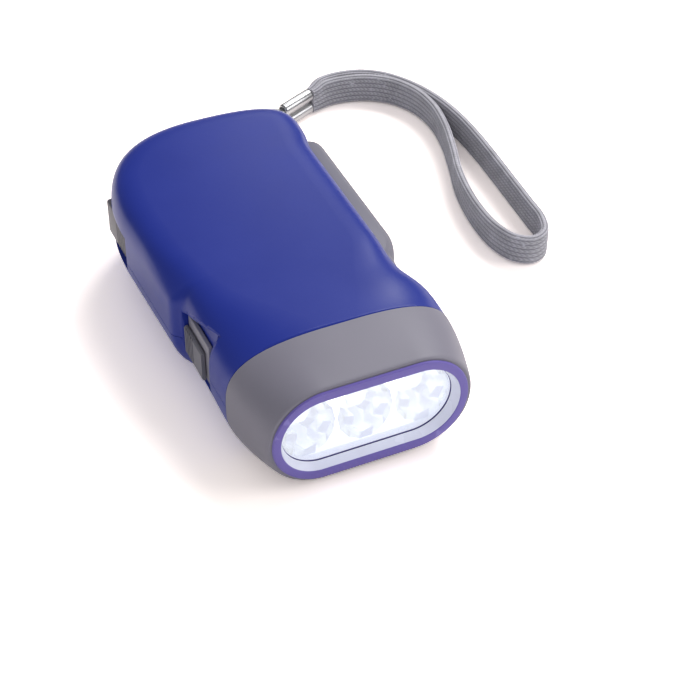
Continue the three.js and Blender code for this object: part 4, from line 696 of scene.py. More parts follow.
@dataclass
class BodyForm:
    """Outer form of the grip and the head, in millimetres, with y = 0 half way along."""

    length: float = 105
    height: float = 29.2
    head_length: float = 17.3
    head_half_width: float = 27.1
    grip_left: float = 29.6
    grip_rear: float = 30.3
    grip_right: float = 22
    lobe: float = 23.3
    shave: float = 0.03
    strip: float = 0.6
    shoulder_width: float = 13.5
    belly_width: float = 14.5
    shoulder_power: float = 5.5
    belly_power: float = 1.95
    head_power: float = 3
    wall: float = 2
    parting_gap: float = 0.15
    flare_end: float = 19.5
    flare_start: float = 39.5
    notch_end: float = 40.8
    notch_start: float = 45.5
    notch_fade_end: float = 62
    corner_start: float = 74.5
    lobe_foot: float = 79.5
    lobe_top: float = 93
    rear_peak: float = -2
    blend: float = 46
    corner_rise: float = 0.67
    corner_run: float = 0.63
    lobe_run: float = 0.61
    lobe_rise: float = 0.83
    bend: float = 0.55
    step: float = 0.9
    levels: int = 22

    @property
    def rim_y(self) -> float:
        """Front end of the body."""
        return -self.length / 2

    @property
    def rear_y(self) -> float:
        """Rear end of the body."""
        return self.length / 2

    @property
    def seam_y(self) -> float:
        """Where the blue grip meets the grey head."""
        return self.rim_y + self.head_length

    @property
    def parting_z(self) -> float:
        """Height of the parting line."""
        return self.height / 2

    def curves(self) -> list[tuple[np.ndarray, bool]]:
        """Bezier corners of each stretch of the outline, and whether insets run across.

        Returns:
            The corners and the flag of each stretch, from the left of the seam round the rear.
        """
        def at(x: float, setback: float) -> np.ndarray:
            """Point at a distance behind the front end."""
            return np.array([x, self.rim_y + setback])

        def line(a: np.ndarray, b: np.ndarray) -> np.ndarray:
            """Corners of a straight stretch."""
            return np.array([a, a + (b - a) / 3, a + (b - a) * 2 / 3, b])

        def bend(a: np.ndarray, b: np.ndarray) -> np.ndarray:
            """Corners of a stretch that leaves and arrives lengthwise."""
            rise = np.array([0, self.bend * (b[1] - a[1])])
            return np.array([a, a + rise, b - rise, b])

        rear = self.rear_y
        corner = at(-self.grip_rear, self.corner_start)
        peak = np.array([self.rear_peak, rear])
        lobe = at(self.lobe, self.lobe_top)
        foot = at(self.grip_right, self.lobe_foot)
        flare = at(self.grip_right, self.flare_start)
        flare_end = at(self.head_half_width, self.flare_end)
        notch_end = at(-self.head_half_width, self.notch_end)
        notch = at(-self.grip_left, self.notch_start)
        left = np.array([
            corner, (corner[0], corner[1] + self.corner_rise * (rear - corner[1])),
            (peak[0] + self.corner_run * (corner[0] - peak[0]), rear), peak,
        ])
        right = np.array([
            peak, (peak[0] + self.lobe_run * (lobe[0] - peak[0]), rear),
            (lobe[0], lobe[1] + self.lobe_rise * (rear - lobe[1])), lobe,
        ])
        return [
            (line(at(-self.head_half_width, self.head_length), notch_end), True),
            (bend(notch_end, notch), True),
            (line(notch, corner), True),
            (left, False),
            (right, False),
            (bend(lobe, foot), True),
            (line(foot, flare), True),
            (bend(flare, flare_end), True),
            (line(flare_end, at(self.head_half_width, self.head_length)), True),
        ]

    def outline(self) -> tuple[np.ndarray, np.ndarray]:
        """Points of the outline from the left of the seam round the rear, and inward ways.

        Returns:
            The points and, for each of them, the way inward.
        """
        points, inward = [], []
        for corners, across in self.curves():
            reach = np.linalg.norm(np.diff(corners, axis=0), axis=1).sum()
            count = max(4, int(round(reach / self.step)))
            for share in np.arange(count) / count:
                place, tangent = bezier(corners, share)
                points.append(place)
                side = (-math.copysign(1, place[0]), 0.0)
                inward.append(side if across else (tangent[1], -tangent[0]))
        points.append(self.curves()[-1][0][-1])
        inward.append((-1.0, 0.0))
        return np.array(points), np.array(inward)

    def draw_in(self, y: float, rise: float, above: bool, wall: float) -> float:
        """How far the form has drawn in where it has risen this share of its half height.

        Args:
            y: Distance along the body.
            rise: Share of the half height, from 0 to 1.
            above: True above the parting line.
            wall: Distance inside the outer form.

        Returns:
            The inset in millimetres.
        """
        share = smooth_share(y, self.rim_y + self.blend, self.seam_y)
        width = self.shoulder_width if above else self.belly_width
        power = self.shoulder_power if above else self.belly_power
        width += (self.head_half_width - width) * share - wall
        power += (self.head_power - power) * share
        rise = min(max(rise, 0.0), 1.0)
        return wall + width * (1 - (1 - rise ** power) ** (1 / power))

    def belly_z(self, centre: tuple[float, float], radius: float) -> float:
        """Greatest height of the underside over a disc, in millimetres.

        Args:
            centre: Middle of the disc, as x and y.
            radius: Its radius.

        Returns:
            The height.
        """
        points, _ = self.outline()
        reach = np.linalg.norm(points - centre, axis=1).min() - radius
        rises = np.linspace(0, 1, 300)
        insets = [self.draw_in(centre[1], rise, False, 0) for rise in rises]
        return self.parting_z * (1 - np.interp(reach, insets, rises))

    def notch_fade(self, points: np.ndarray, rise: float) -> np.ndarray:
        """How far the left flank draws in behind the notch, so that it fades out upward.

        Args:
            points: Points of the outline.
            rise: Share of the half height.

        Returns:
            The inset of each point in millimetres.
        """
        width = self.grip_left - self.head_half_width
        setback = points[:, 1] - self.rim_y
        sharp = np.array([smooth_share(b, self.notch_end, self.notch_start) for b in setback])
        long = np.array([smooth_share(b, self.notch_end, self.notch_fade_end) for b in setback])
        return (points[:, 0] < 0) * width * (sharp - long) * smooth_share(rise, 0.6, 0.97)

    def half(self, name: str, side: int, wall: float, start: float, overrun: float,
             levels: int) -> bpy.types.Object:
        """Closed half of the form above or below the parting line.

        Args:
            name: Name of the object.
            side: 1 for above, -1 for below.
            wall: Distance inside the outer form.
            start: Height off the parting plane at which it starts.
            overrun: Distance that it runs on past the seam.
            levels: Number of levels.

        Returns:
            The solid.
        """
        points, inward = self.outline()
        half_height = self.height / 2 + self.shave
        span = self.height / 2 - wall - start
        power = self.shoulder_power if side > 0 else self.belly_power
        top = (span + start) / (half_height - wall)
        shares = [math.sin(level / levels * math.pi / 2) ** (2 / power) for level in range(levels + 1)]
        shares += [low for low in (0.08, 0.16, 0.24, 0.32) if low < shares[1] - 0.04]
        rings = []
        for share in sorted(shares):
            rise = start + share * span
            inset = np.array([
                self.draw_in(y, min(rise / (half_height - wall), top), side > 0, wall)
                for y in points[:, 1]
            ])
            if side > 0:
                inset += self.notch_fade(points, rise / half_height)
            spare = np.abs(points[:, 0]) - self.strip
            inset = np.where(np.abs(inward[:, 0]) > 0.999, np.minimum(inset, spare), inset)
            ring = points + inward * inset[:, None]
            ring[[0, -1], 1] -= overrun
            z = np.full(len(ring), self.parting_z + side * rise)
            rings.append(np.column_stack([ring, z]))
        return skin_half(name, rings)


def bezier(corners: np.ndarray, share: float) -> tuple[np.ndarray, np.ndarray]:
    """Point and unit tangent of a cubic curve at a share of its way.

    Args:
        corners: The four corners of the curve.
        share: Share of its way, from 0 to 1.

    Returns:
        The point and the tangent.
    """
    rest = 1 - share
    weights = (rest ** 3, 3 * rest ** 2 * share, 3 * rest * share ** 2, share ** 3)
    place = sum(w * c for w, c in zip(weights, corners))
    steps = np.diff(corners, axis=0)
    tangent = rest ** 2 * steps[0] + 2 * rest * share * steps[1] + share ** 2 * steps[2]
    return place, tangent / np.linalg.norm(tangent)


def skin_half(name: str, rings: Sequence[Ring]) -> bpy.types.Object:
    """Skins half a form, with its flat end filled by strips that run straight across.

    Args:
        name: Name of the object.
        rings: Rings from the parting line to the flat, each from left round the rear to right.

    Returns:
        The solid.
    """
    count = len(rings[0])
    points = list(np.concatenate(rings))
    faces = []
    for ring in range(len(rings) - 1):
        here, there = ring * count, (ring + 1) * count
        for side in range(count):
            after = (side + 1) % count
            faces.append((here + side, here + after, there + after, there + side))
    for base, turned in ((0, True), ((len(rings) - 1) * count, False)):
        for side in range(count // 2):
            a, b = base + side, base + side + 1
            c, d = base + count - 2 - side, base + count - 1 - side
            face = (a, b, c, d) if b < c else (a, b, d)
            if b <= c:
                faces.append(face if turned else face[::-1])
    return make_object(name, points, faces)


@dataclass
class Housing:
    """The two blue half shells with their slot, recesses and notch."""

    form: BodyForm
    lever_bottom: float = 7.2
    lever_top: float = 22
    lever_inner: float = 17.8
    lever_rear: float = 92.7
    pivot: tuple[float, float] = (18.2, -19)
    pin_radius: float = 1.5
    slot_lead: float = 0.3
    gap: float = 0.3
    light: float = 0.15
    inner_share: float = 0.55
    lock_low: float = 12.8
    lock_high: float = 21.8
    lock_setback: float = 73
    lock_length: float = 16
    lock_travel: float = 3
    seat_x: float = -27.5
    switch_low: float = 10
    switch_rise: float = 6.9
    switch_setback: float = 41.9
    switch_reach: float = 14.6
    switch_floor: float = -25.1
    scoop_lead: float = 0.4
    scoop_drift: float = 0.9
    scoop_rise: float = 4.2
    scoop_far: float = -52.5
    roof_slope: float = 0.7
    roof_open: float = 18
    lip_width: float = 1.1
    lip_narrowing: float = 0.75
    notch_low: float = 9.5
    notch_high: float = 16.4
    notch_x: float = 15.2
    notch_half_width: float = 4.8
    notch_depth: float = 9.2
    screws: tuple[tuple[float, float], ...] = ((-20, 23.3), (20.1, 22.1), (-22, 60.5), (3.4, 97))
    screw_head: tuple[float, float] = (2.4, 1.7)
    screw_sink: float = 0.5
    screw_top: float = 17.3
    shank: float = 1.2
    recess: tuple[float, float] = (1.3, 0.35)
    recess_depth: float = 0.9
    well: float = 2.7
    foot_depth: float = 0.9

    def shell(self, half: Blue, recesses: Sequence[Callable[[], bpy.types.Object]]) -> bpy.types.Object:
        """Builds one half shell.

        Args:
            half: Which half.
            recesses: Makers of the solids that are cut out of it.

        Returns:
            The shell, with the posts and bosses of its CAD node inside.
        """
        side = half.value
        node = "top_shell" if side > 0 else "bottom_shell"
        form = self.form
        skin = form.half(f"{node}_moulding", side, 0, form.parting_gap / 2, 0, form.levels)
        hollow = form.half("hollow", side, form.wall, -1.5, 3, 8)
        combine(skin, hollow, "DIFFERENCE")
        inner = form.half("inner", side, form.wall * self.inner_share, -1.0, 0, 10)
        front = block("front", (-60, form.rim_y, -1), (60, form.seam_y - self.light, form.height + 1))
        inner = combine(inner, front, "UNION")
        core = combine(copy_node(node, "core"), inner, "INTERSECT")
        combine(skin, core, "UNION")
        for recess in recesses:
            combine(skin, recess(), "DIFFERENCE")
        shade(skin)
        return skin

    def lever_slot(self) -> bpy.types.Object:
        """Slot that the lever swings in.

        Returns:
            The solid to cut out.
        """
        y0, y1 = self.pivot[1] + self.slot_lead, self.form.rim_y + self.lever_rear + self.form.wall / 2
        x0 = self.lever_inner - self.gap - self.form.wall
        return block("slot", (x0, y0, self.lever_bottom - self.gap), (60, y1, self.lever_top + self.gap))

    def lug_notch(self) -> bpy.types.Object:
        """Notch in the rear right corner for the thin cord.

        Returns:
            The solid to cut out.
        """
        rear, half = self.form.rear_y, self.notch_half_width
        return block("notch", (self.notch_x - half, rear - self.notch_depth, self.notch_low),
                     (self.notch_x + half, rear + 3, self.notch_high))

    def lock_seat(self) -> bpy.types.Object:
        """Shallow seat of the lock slider.

        Returns:
            The solid to cut out.
        """
        y0 = self.form.rim_y + self.lock_setback
        y1 = y0 + self.lock_length + self.lock_travel
        return block("seat", (-60, y0 - self.gap, self.lock_low - self.gap),
                     (self.seat_x + self.light, y1 + self.gap, self.lock_high + self.gap))

    def switch_pocket(self) -> bpy.types.Object:
        """Recess of the switch: level roof at the rear, opening upward as a scoop in front.

        Returns:
            The solid to cut out.
        """
        floor = self.switch_floor + self.light
        rear = self.form.rim_y + self.switch_setback
        high = self.form.parting_z + self.switch_rise + self.gap
        low, out = self.switch_low, self.scoop_far
        rings = []
        for share in np.arange(15) / 14:
            y = rear + self.scoop_lead - share * (self.switch_reach + self.gap + self.scoop_lead)
            foot = np.array([floor + self.scoop_drift * share, high + self.scoop_rise * share])
            slope = self.roof_slope + (self.roof_open - self.roof_slope) * share
            width = self.lip_width * (1 - self.lip_narrowing * share)
            ring = [(out, low), (floor, low), (floor, high), tuple(foot)]
            ring += [tuple(p) for p in self.lip(y, foot, np.array([out, foot[1] + slope]), width)]
            rings.append(np.array([(x, y, z) for x, z in ring]))
        return loft("pocket", rings)

    def lip(self, y: float, foot: np.ndarray, far: np.ndarray, width: float) -> list[np.ndarray]:
        """Rounded edge between the recess's roof and the flank, at one distance along.

        Args:
            y: Distance along the body.
            foot: Inner end of the roof, as x and z.
            far: Outer end of the roof, far outside the body.
            width: Width of the rounding on either side of the edge.

        Returns:
            Points from the roof, round the edge, to the flank and out of the body.
        """
        points, _ = self.form.outline()
        left = points[(points[:, 0] < -20) & (points[:, 1] < 10)]
        wall = np.interp(y, left[:, 1], left[:, 0])

        def skin(z: float) -> float:
            """Where the left flank lies at this height."""
            return wall + self.form.draw_in(y, (z - self.form.parting_z) / self.form.parting_z, True, 0)

        shares = np.linspace(0, 1, 600)
        roof = foot + (far - foot) * shares[:, None]
        edge = next(p for p in roof if p[0] <= skin(p[1]))
        way = (far - foot) / np.linalg.norm(far - foot)
        start = edge - way * width
        z, gone, last = edge[1], 0.0, np.array([skin(edge[1]), edge[1]])
        while gone < width and z < self.form.height - 0.1:
            z += 0.02
            here = np.array([skin(z), z])
            step = here - last
            gone, last = gone + np.linalg.norm(step), here
        out = np.array([-step[1], step[0]]) / np.linalg.norm(step)
        shares = np.linspace(0, 1, 8)[:, None]
        arc = (1 - shares) ** 2 * start + 2 * shares * (1 - shares) * edge + shares ** 2 * last
        return [*arc, last + out * 30]

    def build(self, finishes: Finishes) -> None:
        """Builds and dresses both shells.

        Args:
            finishes: The finishes of the torch.
        """
        cuts = (self.lever_slot, self.switch_pocket, self.lock_seat, self.lug_notch)
        for half, node in ((Blue.TOP, "top_shell"), (Blue.BOTTOM, "bottom_shell")):
            shell = self.shell(half, cuts)
            if half is Blue.BOTTOM:
                for number, (x, setback) in enumerate(self.screws, 1):
                    self.fasten(number, (x, self.form.rim_y + setback), shell, finishes)
            shade(shell)
            dress(shell, finishes.blue, Body.HOUSING, [node])
        self.pin("lever_pin", self.form.belly_z(self.pivot, self.pin_radius) + self.foot_depth, finishes)
        self.pin("lug_pin", self.notch_low - self.gap, finishes)

    def fasten(self, number: int, centre: tuple[float, float], shell: bpy.types.Object,
               finishes: Finishes) -> None:
        """Sinks a screw with a cross recess in a well of the lower shell.

        Args:
            number: Number of the screw.
            centre: Its axis, as x and y.
            shell: Lower shell, which gets the well.
            finishes: The finishes.
        """
        radius, height = self.screw_head
        low = self.form.belly_z(centre, radius) + self.screw_sink
        combine(shell, post("well", centre, self.well, -3, low + height + 0.05), "DIFFERENCE")
        screw = post(f"screw_{number}_turned", centre, radius, low, low + height)
        combine(screw, post("shank", centre, self.shank, low + 0.3, self.screw_top), "UNION")
        x, y = centre
        for long, wide in (self.recess, self.recess[::-1]):
            slot = block("recess", (x - long, y - wide, low - 1),
                         (x + long, y + wide, low + self.recess_depth))
            combine(screw, slot, "DIFFERENCE")
        soften(screw, 0.1)
        bake_modifiers(screw)
        shade(screw)
        dress(screw, finishes.steel, Body.HOUSING, [f"screw_{number}"])

    def pin(self, node: str, low: float, finishes: Finishes) -> None:
        """Shows a pin from a height up, so that its foot stays inside the lower shell.

        Args:
            node: CAD node of the pin.
            low: Height that it starts at.
            finishes: The finishes of the torch.
        """
        pin = combine(copy_node(node, f"{node}_turned"), block("limit", (-60, -60, low), (60, 60, 40)),
                      "INTERSECT")
        shade(pin)
        dress(pin, finishes.steel, Body.HOUSING, [node])


@dataclass
class Head:
    """Grey bezel, violet rim, lens and bowls."""

    form: BodyForm
    sides: int = 192
    narrowing: float = 3.2
    lift: float = 0.3
    lowering: float = 1.45
    face_width: float = 2.7
    face_height: float = 3.2
    depth: float = 2.6
    rounding: float = 0.85
    shoulder: float = 1.7
    flange: float = 0.45
    flange_step: float = 0.15
    draft_width: float = 1.05
    draft_height: float = 0.5
    lap: float = 1.4
    lens_gap: float = 0.35
    lens_thickness: float = 1.5
    taper: float = 1.6
    round_share: float = 0.4
    rim_edge: float = 0.22
    lens_edge: float = 0.3
    bowl_front: float = -47.9
    bowl_rear: float = -37.7
    bowl_lead: float = 0.4
    plate_depth: float = 9.4
    bowl_pitch: float = 13.6
    bowl_radius: float = 6.75
    bowl_foot: float = 3.1
    bowl_stretch: float = 1.25
    facets: int = 14
    bowl_levels: int = 5
    facet_turn: float = 25.7
    facet_depth: float = 1.8
    neck: float = 4.3
    gap: float = 0.3
    light: float = 0.15

    def __post_init__(self) -> None:
        """Works out the sizes of the rim and its opening."""
        self.rim = np.array([self.form.head_half_width - self.narrowing,
                             self.form.height / 2 - self.lowering])
        self.opening = self.rim - (self.face_width, self.face_height)
        self.optic = self.opening + self.lap

    def oval(self, inset: float) -> np.ndarray:
        """Oval of the seam, drawn in by inset.

        Args:
            inset: Distance inside the seam.

        Returns:
            Points across and up from the middle.
        """
        half = np.array([self.form.head_half_width, self.form.height / 2 + self.form.shave]) - inset
        turns = np.linspace(0, 2 * math.pi, self.sides, endpoint=False)
        along = np.column_stack([np.cos(turns), np.sin(turns)])
        reach = (np.abs(along) ** self.form.head_power).sum(axis=1) ** (-1 / self.form.head_power)
        return along * half * reach[:, None]

    def round_end(self, half: np.ndarray) -> np.ndarray:
        """Round-ended slot outline of these half sizes.

        Args:
            half: Half width and half height.

        Returns:
            Points across and up from the middle.
        """
        width, height = half
        straight = width - height
        points = []
        for turn in np.linspace(0, 2 * math.pi, self.sides, endpoint=False):
            way = np.array([math.cos(turn) * width, math.sin(turn) * height])
            way /= np.linalg.norm(way)
            flat = height / max(abs(way[1]), 1e-12)
            if flat * abs(way[0]) > straight:
                flat = straight * abs(way[0]) + math.sqrt(height ** 2 - (straight * way[1]) ** 2)
            points.append(way * flat)
        return np.array(points)

    def head_ring(self, y: float, share: float, inset: float) -> Ring:
        """Ring of the head, from the seam's oval (share 0) to the rim (share 1).

        Args:
            y: Distance along the body.
            share: Share of the way from the seam to the rim.
            inset: Distance inside the form.

        Returns:
            The ring.
        """
        flat = self.oval(inset) * (1 - share) + self.round_end(self.rim - inset) * share
        z = self.form.parting_z + share * self.lift + flat[:, 1]
        return np.column_stack([flat[:, 0], np.full(self.sides, y), np.clip(z, 0, self.form.height)])

    def slot_ring(self, half: np.ndarray, y: float) -> Ring:
        """Round-ended ring at one depth.

        Args:
            half: Half width and half height.
            y: Distance along the body.

        Returns:
            The ring.
        """
        flat = self.round_end(half)
        z = self.form.parting_z + self.lift + flat[:, 1]
        return np.column_stack([flat[:, 0], np.full(self.sides, y), z])

    def bezel(self) -> bpy.types.Object:
        """Grey head from the seam to the rim, hollow, with a rounded front.

        Returns:
            The head.
        """
        form = self.form
        front, rear = form.rim_y + self.flange + self.light, form.seam_y - self.light
        shoulder = form.rim_y + self.shoulder
        span = form.seam_y - form.rim_y
        rings = []
        for y in np.linspace(rear, shoulder, 40):
            rings.append(self.head_ring(y, ((form.seam_y - y) / span) ** self.taper, 0))
        for y in np.linspace(shoulder, front, 8)[1:]:
            share = (shoulder - y) / (shoulder - front)
            inset = self.rounding * self.round_share * (1 - math.sqrt(max(0, 1 - share ** 2)))
            rings.append(self.head_ring(y, ((form.seam_y - y) / span) ** self.taper, inset))
        bore = self.optic + self.gap
        step = form.seam_y - self.neck - self.gap
        rings += [self.slot_ring(bore, front), self.slot_ring(bore, step)]
        rings += [self.head_ring(step, 0, form.wall), self.head_ring(rear, 0, form.wall)]
        return loft("bezel_moulding", rings, closed=True)

    def rim_piece(self) -> bpy.types.Object:
        """Violet rim: thin flange, and a sleeve whose opening narrows to the lens.

        Returns:
            The rim.
        """
        y = self.form.rim_y
        outer = self.rim - self.rounding
        back = self.rim - self.rounding + self.flange_step
        deep = self.opening - (self.draft_width, self.draft_height)
        small = self.rim_edge
        rings = [self.slot_ring(back, y + self.flange)]
        for turn in np.linspace(0, math.pi / 2, 5):
            rings.append(self.slot_ring(outer - small * (1 - math.cos(turn)),
                                        y + small * (1 - math.sin(turn))))
        for turn in np.linspace(0, math.pi / 2, 5):
            rings.append(self.slot_ring(self.opening + small * (1 - math.sin(turn)),
                                        y + small * (1 - math.cos(turn))))
        for share in (0.35, 0.7, 1.0):
            rings.append(self.slot_ring(self.opening + (deep - self.opening) * share,
                                        y + small + (self.depth - small) * share))
        rings += [self.slot_ring(self.optic, y + self.depth), self.slot_ring(self.optic, y + self.flange)]
        return loft("rim_moulding", rings, closed=True)

    def lens(self) -> bpy.types.Object:
        """Clear lens plate with a softly rounded front edge.

        Returns:
            The lens.
        """
        front = self.form.rim_y + self.depth + self.lens_gap
        back = front + self.lens_thickness
        edge = self.lens_edge
        seen = self.opening - (self.draft_width + 0.1, self.draft_height + 0.1)
        places = [(self.optic, back), (self.optic, front + edge), (self.optic - edge / 3, front + edge / 3),
                  (self.optic - edge, front), (seen, front), (self.optic * 0.5, front),
                  (self.optic * 0.25, front)]
        return loft("lens_plate", [self.slot_ring(half, y) for half, y in places])

    def build(self, finishes: Finishes) -> None:
        """Builds and dresses the pieces of the head.

        Args:
            finishes: The finishes of the torch.
        """
        pieces = {}
        for maker, finish, node, angle in (
            (self.bezel, finishes.grey, "bezel", 30),
            (self.rim_piece, finishes.rim, "lens_ring", 40),
            (self.lens, finishes.lens, "lens", 50),
            (self.bowls, finishes.bowl, "reflector", 18),
        ):
            pieces[node] = maker()
            shade(pieces[node], angle)
            dress(pieces[node], finish, Body.HOUSING, [node])
        # painted shade: a pattern of bowl facets takes a darker colour
        paint(pieces["reflector"], finishes.facet, self.on_facet)
        # painted light: the wall round the lens is painted pale, a lit copy of the violet rim
        paint(pieces["lens_ring"], finishes.painted_light_rim_wall, self.on_lit_wall)
        # painted shade: the lens's edge under the rim is painted dark
        paint(pieces["lens"], finishes.painted_lens_edge_shade, self.on_shaded_edge)

    def on_lit_wall(self, place: Vector, normal: Vector) -> bool:
        """Whether a face of the rim is part of the wall round the lens, which takes painted light."""
        y = self.form.rim_y
        return y + 0.3 < place.y < y + self.depth - 0.02 and self.beyond(place, self.opening + 0.1) < 0

    def on_shaded_edge(self, place: Vector, normal: Vector) -> bool:
        """Whether a face of the lens lies under the rim, where it takes painted shade."""
        deep = self.opening - (self.draft_width, self.draft_height)
        return self.beyond(place, deep - 0.12) > 0

    def on_facet(self, place: Vector, normal: Vector) -> bool:
        """Whether a facet of a bowl is one that gets painted shade.

        Args:
            place: Middle of the face, in millimetres.
            normal: Its normal.

        Returns:
            True where the facet gets painted shade.
        """
        if place.y < self.bowl_front + 0.1 or abs(normal.y) > 0.98:
            return False
        pitch = self.bowl_pitch
        x = (place.x + pitch / 2) % pitch - pitch / 2
        turn = math.degrees(math.atan2(place.z - self.form.parting_z - self.lift, x)) % 360
        level = (place.y - self.bowl_front + 0.1) // self.facet_depth
        return (int(turn // self.facet_turn) + int(level) * 3) % 5 == 0

    def beyond(self, place: Vector, half: np.ndarray) -> float:
        """How far a place lies outside a round-ended slot of these half sizes.

        Args:
            place: A place, in millimetres.
            half: Half width and half height of the slot.

        Returns:
            The distance, below 0 inside the slot.
        """
        straight = half[0] - half[1]
        x = max(abs(place.x) - straight, 0)
        return math.hypot(x, place.z - self.form.parting_z - self.lift) - half[1]

    def bowls(self) -> bpy.types.Object:
        """Bright reflector: a plate behind the lens with three faceted bowls.

        Returns:
            The reflector.
        """
        front, facets = self.bowl_front, self.facets
        half = self.opening + (0.4, 0.4)
        plate = loft("reflector_bowls",
                     [self.slot_ring(half, front), self.slot_ring(half, front + self.plate_depth)])
        z = self.form.parting_z + self.lift
        for x in (-self.bowl_pitch, 0.0, self.bowl_pitch):
            rings = []
            for level in range(self.bowl_levels + 1):
                share = level / self.bowl_levels
                reach = self.bowl_foot + (self.bowl_radius - self.bowl_foot) * math.sqrt(1 - share)
                y = front - self.bowl_lead + (self.bowl_rear - front) * share
                turns = (np.arange(facets) + 0.5 * (level % 2)) * 2 * math.pi / facets
                rings.append(np.column_stack([x + reach * np.cos(turns), np.full(facets, y),
                                              z + reach * self.bowl_stretch * np.sin(turns)]))
            combine(plate, loft("bowl", rings), "DIFFERENCE")
        tidy_mesh(plate)
        return plate


@dataclass
class Lever:
    """Grey squeeze lever on the right flank."""

    form: BodyForm
    pivot: tuple[float, float] = (18.2, -19)
    boss: float = 2.9
    bottom: float = 7.2
    top: float = 22
    rear: float = 92.7
    face: float = 28.2
    rear_face: float = 28.1
    tongue: float = 25.2
    tip: float = 24.6
    tip_setback: float = 36.4
    tongue_setback: float = 41
    step_setback: float = 43.4
    step_length: float = 6
    step_round: float = 2
    inner: float = 17.8
    wall: float = 2
    edge: float = 4.6
    rear_round: float = 4
    neck_lead: float = 1.5
    crown: float = 0.97
    bend: float = 0.55
    core_inset: float = 0.9
    levels: int = 14
    gap: float = 0.3

    def ring(self, z: float, inset: float, inner: float) -> Ring:
        """Plan outline of the lever at one height.

        Args:
            z: Height of the ring.
            inset: Distance inside the outer surface.
            inner: Where its inner side lies across the body.

        Returns:
            The ring.
        """
        y0 = self.form.rim_y
        rear, step = y0 + self.rear, y0 + self.step_setback
        face, tongue = self.face - inset, self.tongue - inset
        rear_face, rear_end = self.rear_face - inset, rear - inset * self.bend
        neck = self.pivot[1] + self.neck_lead
        shoulder = step + self.step_length
        outline = [(inner, neck), (self.pivot[0] + self.boss - self.gap - inset, neck),
                   (self.tip - inset, y0 + self.tip_setback), (tongue, y0 + self.tongue_setback)]
        a, b, c = np.array([(tongue, step), (face, shoulder - self.step_round),
                            (face, shoulder + self.step_round)])
        for share in np.linspace(0, 1, 14):
            outline.append(tuple((1 - share) ** 2 * a + 2 * share * (1 - share) * b + share ** 2 * c))
        corner = np.array([
            (rear_face, rear - self.rear_round), (rear_face, rear - self.rear_round * (1 - self.bend)),
            (rear_face - self.rear_round * (1 - self.bend), rear_end),
            (rear_face - self.rear_round, rear_end),
        ])
        outline += [tuple(bezier(corner, share)[0]) for share in np.linspace(0, 1, 10)]
        outline.append((inner, rear_end))
        return np.array([(x, y, z) for x, y in outline])

    def solid(self, name: str, wall: float, inner: float) -> bpy.types.Object:
        """Lever form at a distance inside its surface, with rounded long edges.

        Args:
            name: Name of the solid.
            wall: Distance inside the outer surface.
            inner: Where its inner side lies across the body.

        Returns:
            The solid.
        """
        middle, half = (self.bottom + self.top) / 2, (self.top - self.bottom) / 2 - wall
        power = self.form.head_power
        rings = []
        for level in range(-self.levels, self.levels + 1):
            share = math.sin(level / self.levels * math.pi / 2)
            rise = abs(share) * self.crown
            edge = self.edge * (1 - (1 - rise ** power) ** (1 / power))
            rings.append(self.ring(middle + share * half, wall + edge, inner))
        return loft(name, rings)

    def build(self, finishes: Finishes) -> None:
        """Builds and dresses the lever, with the sector and ribs of its CAD node inside.

        Args:
            finishes: The finishes of the torch.
        """
        lever = self.solid("lever_moulding", 0, self.inner)
        hollow = self.solid("hollow", self.wall, self.inner - 3)
        limit = block("limit", (0, self.pivot[1] + self.boss, 0),
                      (self.face, self.form.rim_y + self.rear, 30))
        combine(lever, combine(hollow, limit, "INTERSECT"), "DIFFERENCE")
        core = combine(copy_node("squeeze_lever", "core"), self.solid("inner", self.core_inset, -40),
                       "INTERSECT")
        combine(lever, core, "UNION")
        tidy_mesh(lever)
        shade(lever, 30)
        dress(lever, finishes.lever, Body.LEVER, ["squeeze_lever"])


